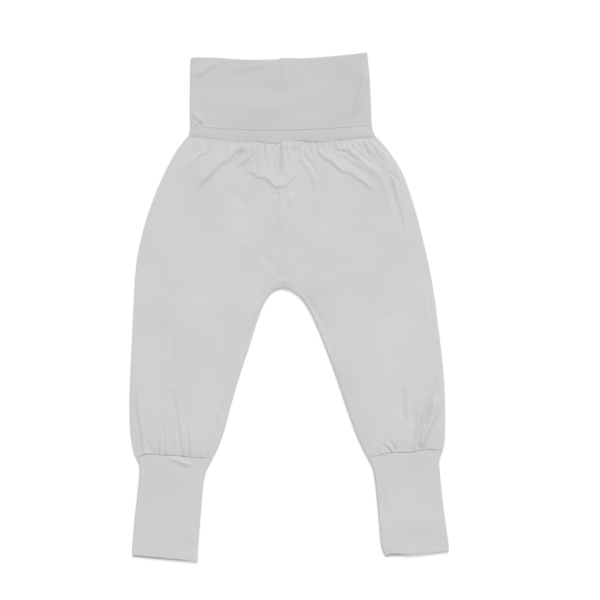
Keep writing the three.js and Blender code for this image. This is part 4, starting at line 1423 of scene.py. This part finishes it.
@dataclass
class HaremPants:
    """The whole garment: two legs, the waistband with its casing, and two cuffs.

    Attributes:
        jersey: Finish of the legs.
        band_jersey: Finish of the waistband.
        casing_shaded_jersey: Finish of the casing, the same grey jersey darkened as painted shade.
        cuff_jersey: Finish of the cuffs.
        leg_flat: A leg's cut width and length, in metres.
        leg_area: A leg's cut area, in square metres.
        band_flat: The waistband's width all round and height, in metres.
        casing_flat: The casing's.
        cuff_flat: A cuff's.
        pieces: The pieces, once they are built.
    """

    jersey: Jersey = Jersey("grey jersey", (0.570, 0.558, 0.559))
    band_jersey: Jersey = Jersey(
        "grey jersey of the band", (0.532, 0.521, 0.519), streak_depth=0.06, streak_highlight=0.25)
    # The casing is the same jersey made darker: painted shade, for the casing lying lower between the band
    # and the gathers.
    casing_shaded_jersey: Jersey = Jersey(
        "grey jersey of the casing with painted shade", (0.521, 0.513, 0.512), streak_depth=0.05, streak_highlight=0.1)
    cuff_jersey: Jersey = Jersey(
        "grey jersey of the cuffs", (0.558, 0.544, 0.548), streak_depth=0.06, streak_highlight=0.35)
    leg_flat: tuple[float, float] = (0.33, 0.345)
    leg_area: float = 0.088
    band_flat: tuple[float, float] = (0.362, 0.075)
    casing_flat: tuple[float, float] = (0.372, 0.011)
    cuff_flat: tuple[float, float] = (0.131, 0.1)
    pieces: list[bpy.types.Object] = field(default_factory=list)

    def legs(self) -> tuple[Leg, Leg]:
        """Set out the two legs.

        Returns:
            The wearer's right leg and left leg.
        """
        waist, back = WAIST_GATHERS.creases(), BACK_CREASES + WAIST_BACK_GATHERS.creases()
        right_front = FRONT_CREASES + RIGHT_CUFF_CREASES + waist + RIGHT_END_GATHERS.creases()
        left_front = FRONT_CREASES + LEFT_CUFF_CREASES + waist + LEFT_END_GATHERS.creases()
        right = Leg(
            Side.RIGHT, LEG_RIGHT_SECTIONS, right_front, back, RIGHT_CUFF_SEAM,
            flat=self.leg_flat, area=self.leg_area,
        )
        left = Leg(
            Side.LEFT, LEG_LEFT_SECTIONS, left_front, back, LEFT_CUFF_SEAM,
            flat=self.leg_flat, area=self.leg_area,
        )
        return right, left

    def band(self) -> Tube:
        """Set out the waistband, which is folded at its top."""
        return Tube(
            "waistband", WAISTBAND_SECTIONS, WAISTBAND_CREASES, BAND_BACK_CREASES, BAND_TOP, BAND_SEAM,
            flat=self.band_flat, top_edge=Edge.FOLDED,
        )

    def casing(self) -> Tube:
        """Set out the narrow gathered casing under the waistband."""
        return Tube(
            "waist_casing", CASING_SECTIONS, CASING_CREASES + CASING_GATHERS.creases(),
            CASING_BACK_GATHERS.creases(), BAND_SEAM, WAIST_SEAM, flat=self.casing_flat, step=1.2,
        )

    def cuffs(self) -> tuple[Tube, Tube]:
        """Set out the cuffs, which are folded at their hems.

        Returns:
            The wearer's right cuff and left cuff.
        """
        right = Tube(
            "cuff_right", CUFF_RIGHT_SECTIONS, RIGHT_CUFF_TUBE_CREASES, CUFF_BACK_CREASES, RIGHT_CUFF_SEAM,
            PLAIN_LINE, flat=self.cuff_flat, bottom_edge=Edge.FOLDED, peek=RIGHT_CUFF_PEEK,
        )
        left = Tube(
            "cuff_left", CUFF_LEFT_SECTIONS, LEFT_CUFF_TUBE_CREASES, CUFF_BACK_CREASES, LEFT_CUFF_SEAM,
            PLAIN_LINE, flat=self.cuff_flat, bottom_edge=Edge.FOLDED, peek=LEFT_CUFF_PEEK,
        )
        return right, left

    def build(self) -> None:
        """Make every piece and report it."""
        jersey, cuff_jersey = self.jersey.make(), self.cuff_jersey.make()
        self.pieces = [leg.build(jersey) for leg in self.legs()]
        self.pieces.append(self.band().build(self.band_jersey.make()))
        self.pieces.append(self.casing().build(self.casing_shaded_jersey.make()))
        self.pieces += [cuff.build(cuff_jersey) for cuff in self.cuffs()]
        for piece in self.pieces:
            LOG.info("%s: %d faces", piece.name, len(piece.data.polygons))


@dataclass
class Stage:
    """The pale surface, the soft studio light and the camera straight above.

    Attributes:
        photo_middle: Where the camera hangs, across and along the pants.
        camera_height: How high it hangs.
        lens: Its focal length.
        sensor: Width of its sensor.
        floor_size: Side of the paper, in metres.
        floor_drop: How far the paper lies under the pants, in metres.
        key_power: Strength of the key light.
        key_spread: How wide it looks from the pants, in degrees.
        key_place: Where it shines from, in metres.
        room_color: Tone of the room's even light.
        room_power: Its strength.
    """

    photo_middle: Point = (11.0, 6.5)
    camera_height: float = 1417.0
    lens: float = 85.0
    sensor: float = 36.0
    floor_size: float = 6.0
    floor_drop: float = 0.0004
    key_power: float = 1.52
    key_spread: float = 24.0
    key_place: tuple[float, float, float] = (0.45, 1.35, 1.7)
    room_color: tuple[float, float, float] = (0.97, 0.985, 1.0)
    room_power: float = 0.775

    def lay_floor(self) -> None:
        """Lay a plain white floor just under the pants."""
        shape = bmesh.new()
        bmesh.ops.create_grid(shape, x_segments=1, y_segments=1, size=self.floor_size / 2)
        bmesh.ops.translate(shape, verts=shape.verts, vec=(0.0, 0.0, -self.floor_drop))
        mesh = bpy.data.meshes.new("floor")
        shape.to_mesh(mesh)
        shape.free()
        mesh.materials.append(Paper().make())
        add_object("floor", mesh)

    def set_lights(self) -> None:
        """Hang a soft key light above the waist's far side and fill the room with even light."""
        light = bpy.data.lights.new("key", "SUN")
        light.energy = self.key_power
        light.angle = math.radians(self.key_spread)
        key = add_object("key", light)
        key.location = self.key_place
        key.rotation_euler = (-Vector(self.key_place)).to_track_quat("-Z", "Y").to_euler()
        world = bpy.data.worlds.new("room")
        world.use_nodes = True
        back = world.node_tree.nodes["Background"]
        back.inputs["Color"].default_value = (*self.room_color, 1.0)
        back.inputs["Strength"].default_value = self.room_power
        bpy.context.scene.world = world

    def set_camera(self) -> None:
        """Hang the camera straight above, with the waist at the top of its frame."""
        camera = add_object("camera", bpy.data.cameras.new("camera"))
        camera.data.lens = self.lens
        camera.data.sensor_width = self.sensor
        camera.location = (
            (self.photo_middle[0] - MIDDLE_X) * MM, (self.photo_middle[1] - MIDDLE_Y) * MM,
            self.camera_height * MM,
        )
        bpy.context.scene.camera = camera
        bpy.context.scene.view_settings.view_transform = "Standard"

    def build(self) -> None:
        """Set the floor, the lights and the camera."""
        self.lay_floor()
        self.set_lights()
        self.set_camera()


def main() -> None:
    """Build the pants and their stage in order."""
    logging.basicConfig(level=logging.INFO, format="%(name)s: %(message)s")
    HaremPants().build()
    Stage().build()


if __name__ == "__main__":
    main()
